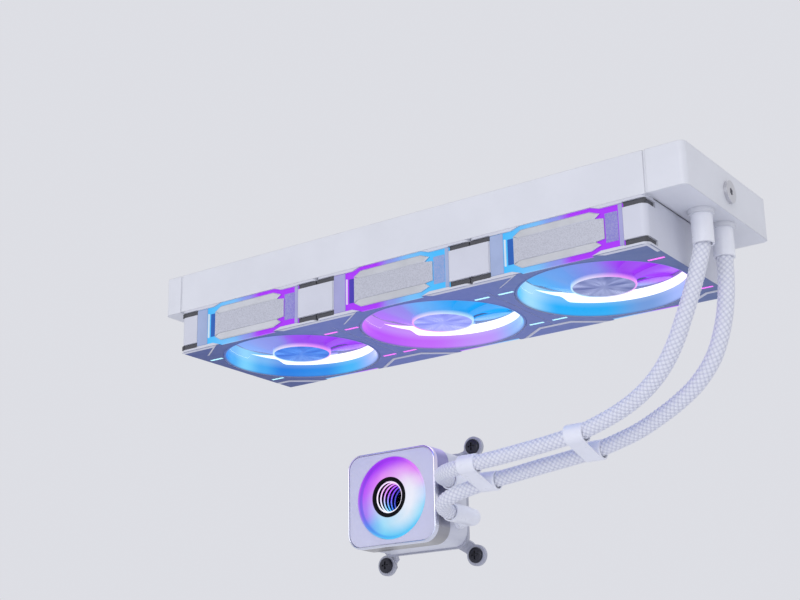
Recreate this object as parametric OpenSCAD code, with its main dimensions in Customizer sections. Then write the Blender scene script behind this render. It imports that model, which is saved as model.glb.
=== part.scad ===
// Sealed liquid cooler: a radiator with three lit fans, two braided hoses and a pump block.
// Millimetres. The origin is the centre of the radiator's top face, +X runs along the radiator
// to the tank with the hose ports, +Y runs to its back edge and +Z is up.

/* [Fans] */
// Width of each square fan, and the pitch from one fan to the next
fan_w = 120; // [119:0.5:121]
// Thickness of each fan
fan_t = 30; // [28:1:32]
// Number of blades on each rotor
blade_count = 9; // [7:1:11]
// Radius of the rotor hub
hub_r = 20.5; // [19:0.5:21.5]
// Distance between the screw holes of a fan
fan_hole_pitch = 105; // [104:0.5:106]

/* [Radiator] */
// Thickness of the radiator
rad_t = 27; // [25:1:30]
// Number of coolant tubes across the core
tube_count = 12; // [10:1:14]
// Length of the plain end tank
plain_tank_l = 16; // [14:1:20]
// Length of the end tank that carries the hose ports
port_tank_l = 26; // [24:1:30]

/* [Pump block] */
// Width of the pump block
pump_w = 76; // [75:1:80]
// Height of the pump block's face
pump_l = 68; // [66:1:70]
// Depth of the pump block from its face to the cold plate
pump_h = 52; // [50:1:54]
// Distance between the mounting screws
cpu_pitch = 78; // [77:0.5:80]

/* [Hoses] */
// Outer diameter of the braided hoses
hose_d = 10.5; // [10:0.5:11.5]
// Outer diameter of the ferrules on the hose ends
ferrule_d = 13; // [13:0.5:14]

/* [Hidden] */
$fn = 96;

eps = 0.02;
fan_centres = [-fan_w, 0, fan_w];
core_l = 3 * fan_w;
fan_z = -rad_t - fan_t;
hole_off = fan_hole_pitch / 2;

// Radiator
rad_w = 120;
rail_w = 11;
rail_web = 2;
rail_flange = 3;
screw_hole_r = 1.5;
core_w = rad_w - 2 * rail_w;
core_t = rad_t - 5;
tube_pitch = core_w / tube_count;
tube_w = 1.8;
tube_wall = 0.4;
tube_t = core_t - 1;
header_t = 1.5;
tank_wall = 1.5;
tank_corner = 4;
port_x = core_l / 2 + 14;
port_ys = [-15, 15];
port_flange_r = 8;
port_flange_t = 3;
nipple_r = 3.6;
nipple_l = 14;
ferrule_l = 18;
ferrule_gap = 0.15;

// Fan
seam = 0.1;
throat_r = 52.5;
ring_r = 55.4;
ring_h = 15;
ring_lip_r = 53.6;
rotor_r = 51.2;
fan_corner = 4;
fan_hole_r = 2.2;
fan_screw_r = 1.6;
head_r = 3;
head_t = 2;
head_pocket_r = 3.4;
head_pocket_t = 3;
panel_t = 3;
panel_end_x = 45;
panel_mid_x = 24;
panel_diag_x = 30;
panel_inset = 2;
groove_t = 1.6;
groove_lo = 1.5;
groove_hi = 5;
plate_proud = 0.6;
plate_t = 1.4;
dash_l = 11;
dash_w = 1.2;
dash_x = 51.3;
dash_ys = [-32.4, 35];
hub_recess = 1.7;
hub_cap_t = 0.9;
hub_wall = 2;
hub_len = fan_t - 6;
fan_shaft_r = 1.5;
running_gap = 0.05;
motor_plate_t = 2.5;
motor_plate_z = fan_t - motor_plate_t - 0.4;
motor_plate_r = hub_r + 1;
strut_w = 3.4;
strut_count = 7;
blade_chord = 34;
blade_rise = 8;
blade_camber = 2;
blade_t = 1.6;

// Corner covers
cover_foot = 33;
cover_top = 12;
cover_depth = 16;
cover_t = 0.8;

// Pump block, in a frame of its own: z is 0 on the cold plate's face and grows to the cap
pump_at = [-85, 108, -153.5];
pump_corner = 11.5;
trim_h = 4;
trim_wall = 1.4;
sleeve_h = 14;
sleeve_wall = 1.5;
base_top = pump_h - trim_h - sleeve_h;
neck_w = 60;
neck_top = 11;
dish_r = 29;
cup_r = 14.3;
cup_wall = 3;
cup_proud = 2.5;
cup_depth = 25;
plate_w = 58;
plate_h = 5;
gasket_t = 1;
chamber_r = 15;
can_r = 10.2;
can_bore_r = 8.6;
cavity_r = 18.2;
magnet_r = 8;
pin_r = 1.2;
plate_screw_off = 25;
plate_screw_r = 1.2;
cpu_screw_r = 1.9;
cpu_collar_r = 2.1;
bracket_t = 3;
cpu_head_r = 5.6;
cpu_head_h = 2.2;
ear_low = 0.6;
recess_l = 6;
recess_w = 1.3;
cpu_shank_below = 8;
ear_r = 7.5;
port_out = 48.5;
port_height = 22;
port_offsets = [6.5, -15.5];
elbow_r = 6;
elbow_top = port_height + 10;

// Hoses: points along each centre line, from the pump block's fitting to the radiator's tank
upper_route = [
    [-36.5, 76, -147], [-36.5, 66, -147], [-36.5, 57, -147], [-35.4, 49, -147], [-31.8, 41.5, -147.1],
    [-26, 34.8, -147.5], [-19.5, 28.8, -148], [-12, 24, -148.3], [-3.5, 20.6, -148.4],
    [5, 18.8, -148.1], [25, 18, -146.9], [45, 18.5, -144.8], [65, 19.5, -142.3],
    [84.5, 20, -139.2], [99, 19.3, -135.6], [115, 17.3, -130.8], [130, 14, -125],
    [143.5, 9.5, -118], [155, 4.5, -109.6], [165, -0.5, -99], [173.5, -5, -86.5], [181, -8.8, -74],
    [188, -12, -60], [192.5, -14.2, -48], [194, -15, -38], [194, -15, -30]
];
lower_route = [
    [-36.5, 76, -169], [-36.5, 66, -169], [-36.5, 57, -169], [-35.7, 49.8, -168.2], [-32.2, 43, -166.7],
    [-26.2, 37.8, -165], [-17.8, 35, -162.9], [-7, 35.4, -160.3], [9, 37, -157],
    [28, 38.5, -154.4], [47, 39.5, -151.7], [65, 41, -149.2], [85, 42, -146.3],
    [101, 41, -143.1], [119, 38.5, -138.7], [137, 34, -132.6], [152, 29.5, -126.6],
    [167, 25, -118], [180, 20.8, -105], [188.5, 17.6, -87.5], [192.8, 15.8, -69],
    [194, 15, -51], [194, 15, -40], [194, 15, -30]
];
hose_sides = 10;
clip_w = 13;
clip_wall = 1.2;
clip_web_t = 1;
clip_pump_at = [[5, 18.8, -148.1], [9, 37, -157]];
clip_radiator_at = [[84.5, 20, -139.2], [85, 42, -146.3]];

// Shared shapes
module rounded_rect(w, l, r) {
    square([w - 2 * r, l], center = true);
    square([w, l - 2 * r], center = true);
    for (sx = [-1, 1], sy = [-1, 1])
        translate([sx * (w / 2 - r), sy * (l / 2 - r)])
            circle(r = r);
}

module rounded_plate(w, l, r, t) {
    linear_extrude(t)
        rounded_rect(w, l, r);
}

module rounded_tube(w, l, r, t, wall) {
    linear_extrude(t)
        difference() {
            rounded_rect(w, l, r);
            rounded_rect(w - 2 * wall, l - 2 * wall, r - wall);
        }
}

module at_corners(dx, dy) {
    for (sx = [-1, 1], sy = [-1, 1])
        translate([sx * dx, sy * dy, 0])
            children();
}

module ring(r_out, r_in, h) {
    difference() {
        cylinder(r = r_out, h = h);
        translate([0, 0, -1])
            cylinder(r = r_in, h = h + 2);
    }
}

// Radiator core
module core_tube() {
    rotate([90, 0, 90])
        linear_extrude(core_l + 2 * header_t, center = true)
            difference() {
                rounded_rect(tube_w, tube_t, tube_w / 2 - 0.05);
                square([tube_w - 2 * tube_wall, tube_t - 2 * tube_w], center = true);
            }
}

module core_tubes() {
    color("gainsboro")
        for (k = [0 : tube_count - 1])
            translate([0, (k + 0.5 - tube_count / 2) * tube_pitch, -rad_t / 2])
                core_tube();
}

module fin_strip(y_lo, y_hi) {
    translate([-core_l / 2, y_lo, -rad_t / 2 - core_t / 2])
        cube([core_l, y_hi - y_lo, core_t]);
}

module core_fins() {
    first = -core_w / 2;
    color("silver") {
        fin_strip(first, first + (tube_pitch - tube_w) / 2);
        fin_strip(-first - (tube_pitch - tube_w) / 2, -first);
        for (k = [0 : tube_count - 2])
            fin_strip(first + (k + 0.5) * tube_pitch + tube_w / 2, first + (k + 1.5) * tube_pitch - tube_w / 2);
    }
}

module header_plates() {
    slot_gap = 0.05;
    color("white")
        for (side = [-1, 1])
            difference() {
                translate([side * (core_l / 2 + header_t / 2), 0, -rad_t / 2])
                    cube([header_t, rad_w - 1, rad_t - 1], center = true);
                for (k = [0 : tube_count - 1])
                    translate([side * core_l / 2, (k + 0.5 - tube_count / 2) * tube_pitch, -rad_t / 2])
                        cube([4 * header_t, tube_w + 2 * slot_gap, tube_t + 2 * slot_gap], center = true);
            }
}

// An end tank, drawn for +X and open towards the core
module tank_shell(length) {
    body_l = length - header_t;
    translate([core_l / 2 + header_t, 0, -rad_t])
        difference() {
            union() {
                translate([0, -rad_w / 2, 0])
                    cube([body_l - tank_corner, rad_w, rad_t]);
                translate([body_l / 2, 0, 0])
                    rounded_plate(body_l, rad_w, tank_corner, rad_t);
            }
            translate([-1, tank_wall - rad_w / 2, tank_wall])
                cube([body_l - tank_wall + 1, rad_w - 2 * tank_wall, rad_t - 2 * tank_wall]);
        }
}

module tank_left() {
    color("white")
        mirror([1, 0, 0])
            tank_shell(plain_tank_l);
}

module tank_right() {
    plug_hole_r = 4.5;
    color("white")
        difference() {
            tank_shell(port_tank_l);
            for (y = port_ys)
                translate([port_x, y, -rad_t - 1])
                    cylinder(r = nipple_r, h = tank_wall + 2);
            translate([core_l / 2 + port_tank_l - tank_wall - 1, 0, -rad_t / 2])
                rotate([0, 90, 0])
                    cylinder(r = plug_hole_r, h = tank_wall + 2);
        }
}

module side_rail() {
    color("white")
        difference() {
            translate([-core_l / 2, core_w / 2, -rad_t])
                cube([core_l, rail_w, rad_t]);
            translate([-core_l / 2 - 1, core_w / 2 - 1, rail_flange - rad_t])
                cube([core_l + 2, rail_w - rail_web + 1, rad_t - 2 * rail_flange]);
            for (x = fan_centres, side = [-1, 1])
                translate([x + side * hole_off, hole_off, 0]) {
                    translate([0, 0, -rad_t - 1])
                        cylinder(r = fan_screw_r + 0.1, h = rail_flange + 2, $fn = 48);
                    translate([0, 0, -rail_flange - 1])
                        cylinder(r = screw_hole_r, h = rail_flange + 2);
                }
        }
}

module side_rail_back() side_rail();

module side_rail_front() mirror([0, 1, 0]) side_rail();

module tank_barbs() {
    bore_r = 2.6;
    color("white")
        for (y = port_ys)
            translate([port_x, y, -rad_t])
                difference() {
                    union() {
                        translate([0, 0, -port_flange_t])
                            cylinder(r = port_flange_r, h = port_flange_t);
                        translate([0, 0, -port_flange_t - nipple_l])
                            cylinder(r = nipple_r, h = port_flange_t + nipple_l + tank_wall);
                        for (k = [1 : 3])
                            translate([0, 0, -port_flange_t - 4 * k])
                                cylinder(r1 = nipple_r, r2 = nipple_r + 0.5, h = 2.4);
                    }
                    translate([0, 0, -port_flange_t - nipple_l - 1])
                        cylinder(r = bore_r, h = 2 * nipple_l + port_flange_t);
                }
}

module fill_plug() {
    color("silver")
        translate([core_l / 2 + port_tank_l, 0, -rad_t / 2])
            rotate([0, 90, 0])
                difference() {
                    union() {
                        cylinder(r = 7, h = 2);
                        translate([0, 0, -5])
                            cylinder(r = 4.5, h = 5);
                    }
                    translate([0, 0, -0.5])
                        cylinder(r = 2.4, h = 3, $fn = 6);
                }
}

// Fans. Each is drawn round its own axis, with z 0 on its open lower face
module at_fan(index) {
    translate([fan_centres[index], 0, fan_z])
        children();
}

function panel_outline(inset) = [
    [-panel_end_x, panel_inset + inset], [-panel_diag_x, panel_inset + inset],
    [-panel_mid_x, inset], [panel_mid_x, inset],
    [panel_diag_x, panel_inset + inset], [panel_end_x, panel_inset + inset],
    [panel_end_x, fan_t - panel_inset - inset], [panel_diag_x, fan_t - panel_inset - inset],
    [panel_mid_x, fan_t - inset], [-panel_mid_x, fan_t - inset],
    [-panel_diag_x, fan_t - panel_inset - inset], [-panel_end_x, fan_t - panel_inset - inset]
];

// The bright plate's outline: a long hexagon with notches at its right end
plate_outline = [
    [-28, 9], [-28.5, 6], [-23, 2.8], [24, 2.8], [30.5, 5.3], [27, 8.2], [33, 8.6],
    [33, fan_t - 8.6], [27, fan_t - 8.2], [30.5, fan_t - 5.3], [24, fan_t - 2.8],
    [-23, fan_t - 2.8], [-28.5, fan_t - 6], [-28, fan_t - 9]
];

// Lays a drawing in X and Z on the front (-1) or back (1) side, and extrudes it inwards from y_out
module on_side(side, y_out, depth) {
    translate([0, side * y_out, 0])
        mirror([0, side > 0 ? 1 : 0, 0])
            translate([0, depth, 0])
                rotate([90, 0, 0])
                    linear_extrude(depth)
                        children();
}

module corner_grooves() {
    for (sx = [-1, 1], sy = [-1, 1], z = [groove_lo, fan_t - groove_hi]) {
        translate([sx * (panel_end_x + 10), sy * (fan_w / 2 - groove_t / 2 + 0.5), z + (groove_hi - groove_lo) / 2])
            cube([20, groove_t + 1, groove_hi - groove_lo], center = true);
        translate([sx * (fan_w / 2 - groove_t / 2 + 0.5), sy * (fan_w / 2 - 6), z + (groove_hi - groove_lo) / 2])
            cube([groove_t + 1, 14, groove_hi - groove_lo], center = true);
    }
}

module dash_bars(depth) {
    for (sx = [-1, 1], y = dash_ys)
        translate([sx * dash_x, y, depth / 2])
            cube([dash_l, dash_w, depth], center = true);
}

module fan_frame(index) {
    dash_depth = 1.5;
    color("white")
        at_fan(index) {
            difference() {
                rounded_plate(fan_w - 2 * seam, rad_w, fan_corner, fan_t);
                translate([0, 0, -1])
                    cylinder(r = throat_r, h = fan_t + 2);
                translate([0, 0, -1])
                    cylinder(r = ring_r, h = ring_h + 1);
                at_corners(hole_off, hole_off) {
                    translate([0, 0, -1])
                        cylinder(r = fan_hole_r, h = fan_t + 2, $fn = 48);
                    translate([0, 0, -1])
                        cylinder(r = head_pocket_r, h = head_pocket_t + 1, $fn = 48);
                }
                for (side = [-1, 1])
                    on_side(side, rad_w / 2 + 1, panel_t + 1)
                        polygon(panel_outline(0));
                corner_grooves();
                translate([0, 0, -eps])
                    dash_bars(dash_depth);
            }
            translate([0, 0, motor_plate_z])
                difference() {
                    union() {
                        cylinder(r = motor_plate_r, h = motor_plate_t);
                        for (k = [0 : strut_count - 1])
                            rotate(k * 360 / strut_count + 10)
                                translate([motor_plate_r - 1, -strut_w / 2, 0])
                                    cube([throat_r - motor_plate_r + 2, strut_w, motor_plate_t]);
                    }
                    translate([0, 0, -1])
                        cylinder(r = 2, h = motor_plate_t + 2, $fn = 48);
                }
        }
}

module light_ring(index) {
    arc_steps = 8;
    lip = ring_lip_r - throat_r;
    color("aqua")
        at_fan(index)
            rotate_extrude()
                polygon(concat(
                    [[ring_r - 0.02, 0], [ring_r - 0.02, ring_h], [throat_r, ring_h]],
                    [for (k = [0 : arc_steps])
                        let (a = 90 * k / arc_steps)
                            [throat_r + lip * (1 - cos(a)), 3.5 * (1 - sin(a))]]
                ));
}

module fan_lights(index) {
    slot_x = -30.5;
    slot_w = 3;
    dash_h = 1.2;
    color("violet")
        at_fan(index) {
            for (side = [-1, 1])
                difference() {
                    on_side(side, rad_w / 2, panel_t)
                        polygon(panel_outline(0.05));
                    on_side(side, rad_w / 2 + 1, plate_t - plate_proud + 1)
                        polygon(plate_outline);
                    on_side(side, rad_w / 2 + 1, 2.5)
                        translate([slot_x, fan_t / 2])
                            square([slot_w, fan_t - 8], center = true);
                }
            dash_bars(dash_h);
        }
}

module side_plates(index) {
    band = 12.4;
    band_depth = 0.4;
    color("silver")
        at_fan(index)
            for (side = [-1, 1])
                difference() {
                    on_side(side, rad_w / 2 + plate_proud, plate_t)
                        polygon(plate_outline);
                    on_side(side, rad_w / 2 + plate_proud + 1, band_depth + 1)
                        translate([0, fan_t / 2])
                            square([80, band], center = true);
                }
}

module fan_motor(index) {
    coil_count = 4;
    board_r = 17;
    core_r = 13.5;
    sleeve_r = 3.5;
    core_lo = 8;
    core_hi = 20;
    top = motor_plate_z;
    color("darkorange")
        at_fan(index)
            difference() {
                union() {
                    translate([0, 0, 5])
                        cylinder(r = sleeve_r, h = top - 5);
                    for (k = [0 : coil_count - 1])
                        rotate(k * 360 / coil_count)
                            translate([0, 0, core_lo]) {
                                translate([sleeve_r - 1, -3, 0])
                                    cube([core_r - sleeve_r, 6, core_hi - core_lo]);
                                intersection() {
                                    ring(core_r + 2, core_r - 2, core_hi - core_lo);
                                    translate([0, -9, -1])
                                        cube([40, 18, core_hi - core_lo + 2]);
                                }
                            }
                    translate([0, 0, top - 2])
                        cylinder(r = board_r, h = 2);
                }
                translate([0, 0, 4])
                    cylinder(r = fan_shaft_r + running_gap, h = fan_t);
            }
}

module blade() {
    steps = 8;
    half = blade_chord / 2;
    upper = [for (k = [0 : steps])
        let (u = k / steps)
            [-half * 0.82 + 0.82 * blade_chord * u, blade_rise * (u - 0.5) + 4 * blade_camber * u * (1 - u)]];
    lower = [for (k = [steps : -1 : 0]) [upper[k][0], upper[k][1] - blade_t]];
    rotate([90, 0, 90])
        linear_extrude(rotor_r - hub_r - 1.2)
            polygon(concat(upper, lower));
}

module rotor(index) {
    mid = 19;
    hub_lo = hub_recess + hub_cap_t;
    color("white")
        at_fan(index) {
            difference() {
                translate([0, 0, hub_lo])
                    cylinder(r = hub_r, h = hub_len - hub_lo);
                translate([0, 0, hub_lo + 1.6])
                    cylinder(r = hub_r - hub_wall, h = fan_t);
                translate([0, 0, -1])
                    cylinder(r = fan_shaft_r, h = fan_t);
            }
            for (k = [0 : blade_count - 1])
                rotate(k * 360 / blade_count)
                    translate([hub_r - 1.2, 0, mid])
                        blade();
        }
}

module hub_cap(index) {
    color("lightsteelblue")
        at_fan(index)
            translate([0, 0, hub_recess])
                cylinder(r = hub_r, h = hub_cap_t);
}

module fan_shaft(index) {
    shaft_lo = hub_recess + hub_cap_t;
    color("gray")
        at_fan(index)
            translate([0, 0, shaft_lo])
                cylinder(r = fan_shaft_r, h = motor_plate_z - shaft_lo - 0.3);
}

module fan_screws() {
    color("gray")
        for (index = [0 : 2])
            at_fan(index)
                at_corners(hole_off, hole_off)
                    difference() {
                        union() {
                            translate([0, 0, head_pocket_t - head_t])
                                cylinder(r = head_r, h = head_t, $fn = 48);
                            translate([0, 0, head_pocket_t])
                                cylinder(r = fan_screw_r, h = fan_t - head_pocket_t + rail_flange, $fn = 48);
                        }
                        translate([0, 0, -1])
                            cylinder(r = 1.5, h = head_pocket_t, $fn = 6);
                    }
}

// A cover that hides the screws of one corner, or of two corners where fans meet
module corner_cover(seam_x, side, left, right) {
    plug_l = 0.7;
    end_gap = 0.5;
    points = [[left ? -cover_foot : end_gap, 0], [right ? cover_foot : -end_gap, 0],
        [right ? cover_top : -end_gap, -cover_depth], [left ? -cover_top : end_gap, -cover_depth]];
    translate([seam_x, 0, fan_z])
        mirror([0, side < 0 ? 1 : 0, 0])
            translate([0, rad_w / 2 - 0.4, 0]) {
                translate([0, 0, -cover_t])
                    linear_extrude(cover_t)
                        polygon(points);
                for (way = concat(left ? [-1] : [], right ? [1] : []))
                    translate([way * (fan_w / 2 - hole_off), 0.4 - rad_w / 2 + hole_off, 0])
                        cylinder(r = head_pocket_r - 0.1, h = plug_l, $fn = 48);
            }
}

module corner_covers() {
    color("white")
        for (side = [-1, 1]) {
            corner_cover(-1.5 * fan_w, side, false, true);
            corner_cover(-0.5 * fan_w, side, true, true);
            corner_cover(0.5 * fan_w, side, true, true);
            corner_cover(1.5 * fan_w, side, true, false);
        }
}

// Pump block
module in_pump() {
    translate(pump_at)
        rotate([90, 0, 0])
            children();
}

module pump_housing() {
    screw_bore_l = 8;
    color("white")
        in_pump()
            difference() {
                union() {
                    translate([0, 0, plate_h + gasket_t])
                        rounded_plate(neck_w, neck_w, 6, neck_top - plate_h - gasket_t);
                    translate([0, 0, neck_top])
                        rounded_plate(pump_w - 2, pump_l - 2, pump_corner - 1, base_top - neck_top);
                }
                translate([0, 0, -1])
                    cylinder(r = chamber_r, h = 14.5 + 1);
                difference() {
                    translate([0, 0, 16])
                        cylinder(r = cavity_r, h = pump_h);
                    translate([0, 0, 15])
                        cylinder(r = can_r, h = 26.5 - 15);
                }
                translate([0, 0, -1])
                    cylinder(r = can_bore_r, h = 25 + 1);
                translate([0, 0, 20])
                    cylinder(r = pin_r + running_gap, h = 6);
                at_corners(plate_screw_off, plate_screw_off)
                    translate([0, 0, -1])
                        cylinder(r = plate_screw_r + 0.05, h = plate_h + gasket_t + screw_bore_l + 1, $fn = 32);
            }
}

module pump_sleeve() {
    color("lightsteelblue")
        in_pump()
            translate([0, 0, base_top])
                rounded_tube(pump_w, pump_l, pump_corner, sleeve_h, sleeve_wall);
}

module pump_trim() {
    color("silver")
        in_pump()
            translate([0, 0, base_top + sleeve_h])
                rounded_tube(pump_w, pump_l, pump_corner, trim_h, trim_wall);
}

module pump_cap() {
    cap_t = 2.2;
    cap_top = pump_h - 0.6;
    color("white")
        in_pump()
            difference() {
                translate([0, 0, cap_top - cap_t])
                    rounded_plate(pump_w - 2 * trim_wall - 0.1, pump_l - 2 * trim_wall - 0.1, pump_corner - trim_wall, cap_t);
                translate([0, 0, 0])
                    cylinder(r = dish_r + 0.1, h = pump_h + 1);
            }
}

module light_dish() {
    rim = pump_h - 0.8;
    color("violet")
        in_pump()
            rotate_extrude()
                polygon([
                    [dish_r, rim], [dish_r - 0.8, rim - 0.8], [dish_r - 1.3, rim - 2], [dish_r - 2.4, rim - 2.3],
                    [25, rim - 1.5], [22, rim - 0.2], [19, rim + 1.1], [16.5, rim + 2.1], [cup_r + 0.05, rim + 2.8],
                    [cup_r + 0.05, rim + 0.8], [16, rim + 0.2], [20, rim - 1.8], [25, rim - 3.6], [dish_r, rim - 4.4]
                ]);
}

module mirror_cup() {
    floor_t = 1;
    top = pump_h + cup_proud;
    color("black")
        in_pump()
            difference() {
                translate([0, 0, top - cup_depth])
                    cylinder(r = cup_r, h = cup_depth);
                translate([0, 0, top - cup_depth + floor_t])
                    cylinder(r = cup_r - cup_wall, h = cup_depth);
            }
}

module mirror_glass() {
    glass_t = 1.2;
    color("lightcyan")
        in_pump()
            translate([0, 0, pump_h + cup_proud - 0.8 - glass_t])
                cylinder(r = cup_r - cup_wall, h = glass_t);
}

module led_board() {
    board_t = 1.6;
    color("seagreen")
        in_pump()
            translate([0, 0, pump_h - 0.8 - 4.4 - board_t])
                ring(dish_r, cup_r + 0.1, board_t);
}

module pump_stator() {
    tooth_count = 6;
    color("darkorange")
        in_pump()
            translate([0, 0, 16]) {
                ring(cavity_r - 0.2, cavity_r - 2.5, 8);
                for (k = [0 : tooth_count - 1])
                    rotate(k * 360 / tooth_count)
                        translate([can_r + 0.2, -2.5, 0])
                            cube([cavity_r - 2 - can_r, 5, 8]);
            }
}

module impeller() {
    vane_count = 6;
    disc_z = 11.5;
    disc_r = chamber_r - 1.5;
    color("dimgray")
        in_pump() {
            translate([0, 0, disc_z])
                cylinder(r = disc_r, h = 1.5);
            translate([0, 0, disc_z + 1.5])
                cylinder(r = magnet_r, h = 10.5);
            translate([0, 0, 7.5])
                cylinder(r = pin_r, h = 18);
            for (k = [0 : vane_count - 1])
                rotate(k * 360 / vane_count)
                    translate([2, -0.6, 8])
                        cube([disc_r - 3, 1.2, disc_z - 8 + 0.2]);
        }
}

module cold_plate() {
    step = 2;
    land_w = 44;
    color("peru")
        in_pump()
            difference() {
                union() {
                    translate([0, 0, step])
                        rounded_plate(plate_w, plate_w, 4, plate_h - step);
                    rounded_plate(land_w, land_w, 2, plate_h);
                }
                at_corners(plate_screw_off, plate_screw_off) {
                    translate([0, 0, -1])
                        cylinder(r = plate_screw_r + 0.05, h = plate_h + 2, $fn = 32);
                    translate([0, 0, -1])
                        cylinder(r = 2.6, h = step + 2, $fn = 32);
                }
            }
}

module cold_plate_gasket() {
    color("dimgray")
        in_pump()
            translate([0, 0, plate_h])
                difference() {
                    rounded_plate(plate_w - 1, plate_w - 1, 4, gasket_t);
                    translate([0, 0, -1])
                        cylinder(r = chamber_r + 2, h = gasket_t + 2);
                    at_corners(plate_screw_off, plate_screw_off)
                        translate([0, 0, -1])
                            cylinder(r = plate_screw_r + 0.05, h = gasket_t + 2, $fn = 32);
                }
}

module cold_plate_screws() {
    color("gray")
        in_pump()
            at_corners(plate_screw_off, plate_screw_off) {
                translate([0, 0, 1.4])
                    cylinder(r = 2.4, h = 1.6, $fn = 32);
                translate([0, 0, 3])
                    cylinder(r = plate_screw_r, h = 9, $fn = 32);
            }
}

// An arm that steps down from the plate to its ear
module bracket_arm(arm_w, reach) {
    thinner = 0.3;
    low = ear_low + thinner;
    ear_top = ear_low + bracket_t - thinner;
    plate_low = neck_top - bracket_t + thinner;
    plate_top = neck_top - thinner;
    side = [
        [32, plate_low], [40.6, plate_low], [45.5, low], [reach, low],
        [reach, ear_top], [47.4, ear_top], [42, plate_top], [32, plate_top]
    ];
    rotate([90, 0, 0])
        linear_extrude(height = arm_w, center = true)
            polygon(side);
}

module cpu_bracket() {
    arm_w = 9;
    off = cpu_pitch / 2;
    reach = norm([off, off]);
    color("lightgray")
        in_pump()
            difference() {
                union() {
                    translate([0, 0, neck_top - bracket_t])
                        rounded_plate(pump_w - 2, pump_l, 8, bracket_t);
                    for (a = [45 : 90 : 315])
                        rotate(a)
                            bracket_arm(arm_w, reach);
                    at_corners(off, off)
                        translate([0, 0, ear_low])
                            cylinder(r = ear_r, h = bracket_t);
                }
                translate([0, 0, neck_top - bracket_t - 1])
                    rounded_plate(neck_w + 0.3, neck_w + 0.3, 6, bracket_t + 2);
                at_corners(off, off)
                    translate([0, 0, ear_low - 1])
                        cylinder(r = cpu_collar_r + 0.2, h = bracket_t + 2);
            }
}

module cpu_screws() {
    off = cpu_pitch / 2;
    seat = ear_low + bracket_t;
    color("dimgray")
        in_pump()
            at_corners(off, off) {
                translate([0, 0, -cpu_shank_below])
                    cylinder(r = cpu_screw_r, h = cpu_shank_below + seat);
                translate([0, 0, ear_low])
                    cylinder(r = cpu_collar_r, h = bracket_t);
                difference() {
                    translate([0, 0, seat])
                        cylinder(r = cpu_head_r, h = cpu_head_h);
                    for (a = [0, 90])
                        rotate(a)
                            translate([-recess_l / 2, -recess_w / 2, seat + cpu_head_h - 1.2])
                                cube([recess_l, recess_w, 2]);
                }
            }
}

module elbow(offset) {
    side = pump_w / 2 - 1;
    color("white")
        in_pump()
            translate([0, offset, 0]) {
                translate([side, 0, port_height])
                    rotate([0, 90, 0])
                        cylinder(r = elbow_r + 1, h = 2);
                translate([side, 0, port_height])
                    rotate([0, 90, 0])
                        cylinder(r = elbow_r, h = port_out - side);
                translate([port_out, 0, port_height])
                    sphere(r = elbow_r);
                translate([port_out, 0, port_height])
                    cylinder(r = elbow_r, h = elbow_top - port_height);
                translate([port_out, 0, elbow_top - 2.5])
                    cylinder(r = ferrule_d / 2, h = 2.5);
                translate([port_out, 0, elbow_top])
                    cylinder(r = nipple_r, h = nipple_l);
            }
}

module elbow_upper() elbow(port_offsets[0]);

module elbow_lower() elbow(port_offsets[1]);

module ferrule() {
    ring(ferrule_d / 2, hose_d / 2 + ferrule_gap, ferrule_l);
}

module pump_ferrules() {
    color("white")
        in_pump()
            for (offset = port_offsets)
                translate([port_out, offset, elbow_top])
                    ferrule();
}

module tank_ferrules() {
    color("white")
        for (y = port_ys)
            translate([port_x, y, -rad_t - port_flange_t - ferrule_l])
                ferrule();
}

// Hoses
function unit(v) = v / norm(v);

function tangent(route, i) =
    unit(route[min(i + 1, len(route) - 1)] - route[max(i - 1, 0)]);

function square_to(v, t) = unit(v - (v * t) * t);

function normals(route) = [
    for (i = 0, n = [0, 0, 1]; i < len(route);
        i = i + 1, n = i < len(route) ? square_to(n, tangent(route, i)) : n) n
];

module hose(route) {
    rings = len(route);
    sides = hose_sides;
    frames = normals(route);
    points = [for (i = [0 : rings - 1], k = [0 : sides - 1])
        let (t = tangent(route, i), n = frames[i], b = cross(t, n), a = 360 * k / sides)
            route[i] + hose_d / 2 * (cos(a) * n + sin(a) * b)];
    walls = [for (i = [0 : rings - 2], k = [0 : sides - 1])
        [i * sides + k, i * sides + (k + 1) % sides, (i + 1) * sides + (k + 1) % sides, (i + 1) * sides + k]];
    start_cap = [for (k = [sides - 1 : -1 : 0]) k];
    end_cap = [for (k = [0 : sides - 1]) (rings - 1) * sides + k];
    color("whitesmoke")
        polyhedron(points = points, faces = concat([start_cap, end_cap], walls), convexity = 10);
}

module hose_upper() hose(upper_route);

module hose_lower() hose(lower_route);

// Two open rings on the hoses, joined by a strap that is flush with their lower sides
module hose_clip(places) {
    ring_r_in = hose_d / 2 + ferrule_gap;
    ring_r_out = ring_r_in + clip_wall;
    span = places[1] - places[0];
    tilt = atan2(span[2], span[1]);
    color("white") {
        for (place = places)
            translate(place - [clip_w / 2, 0, 0])
                rotate([0, 90, 0])
                    ring(ring_r_out, ring_r_in, clip_w);
        hull()
            for (place = places)
                translate(place)
                    rotate([tilt, 0, 0])
                        translate([-clip_w / 2 + 0.3, -0.5, -ring_r_out + 0.1])
                            cube([clip_w - 0.6, 1, clip_web_t]);
    }
}

module clip_pump_end() hose_clip(clip_pump_at);

module clip_radiator_end() hose_clip(clip_radiator_at);

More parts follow.
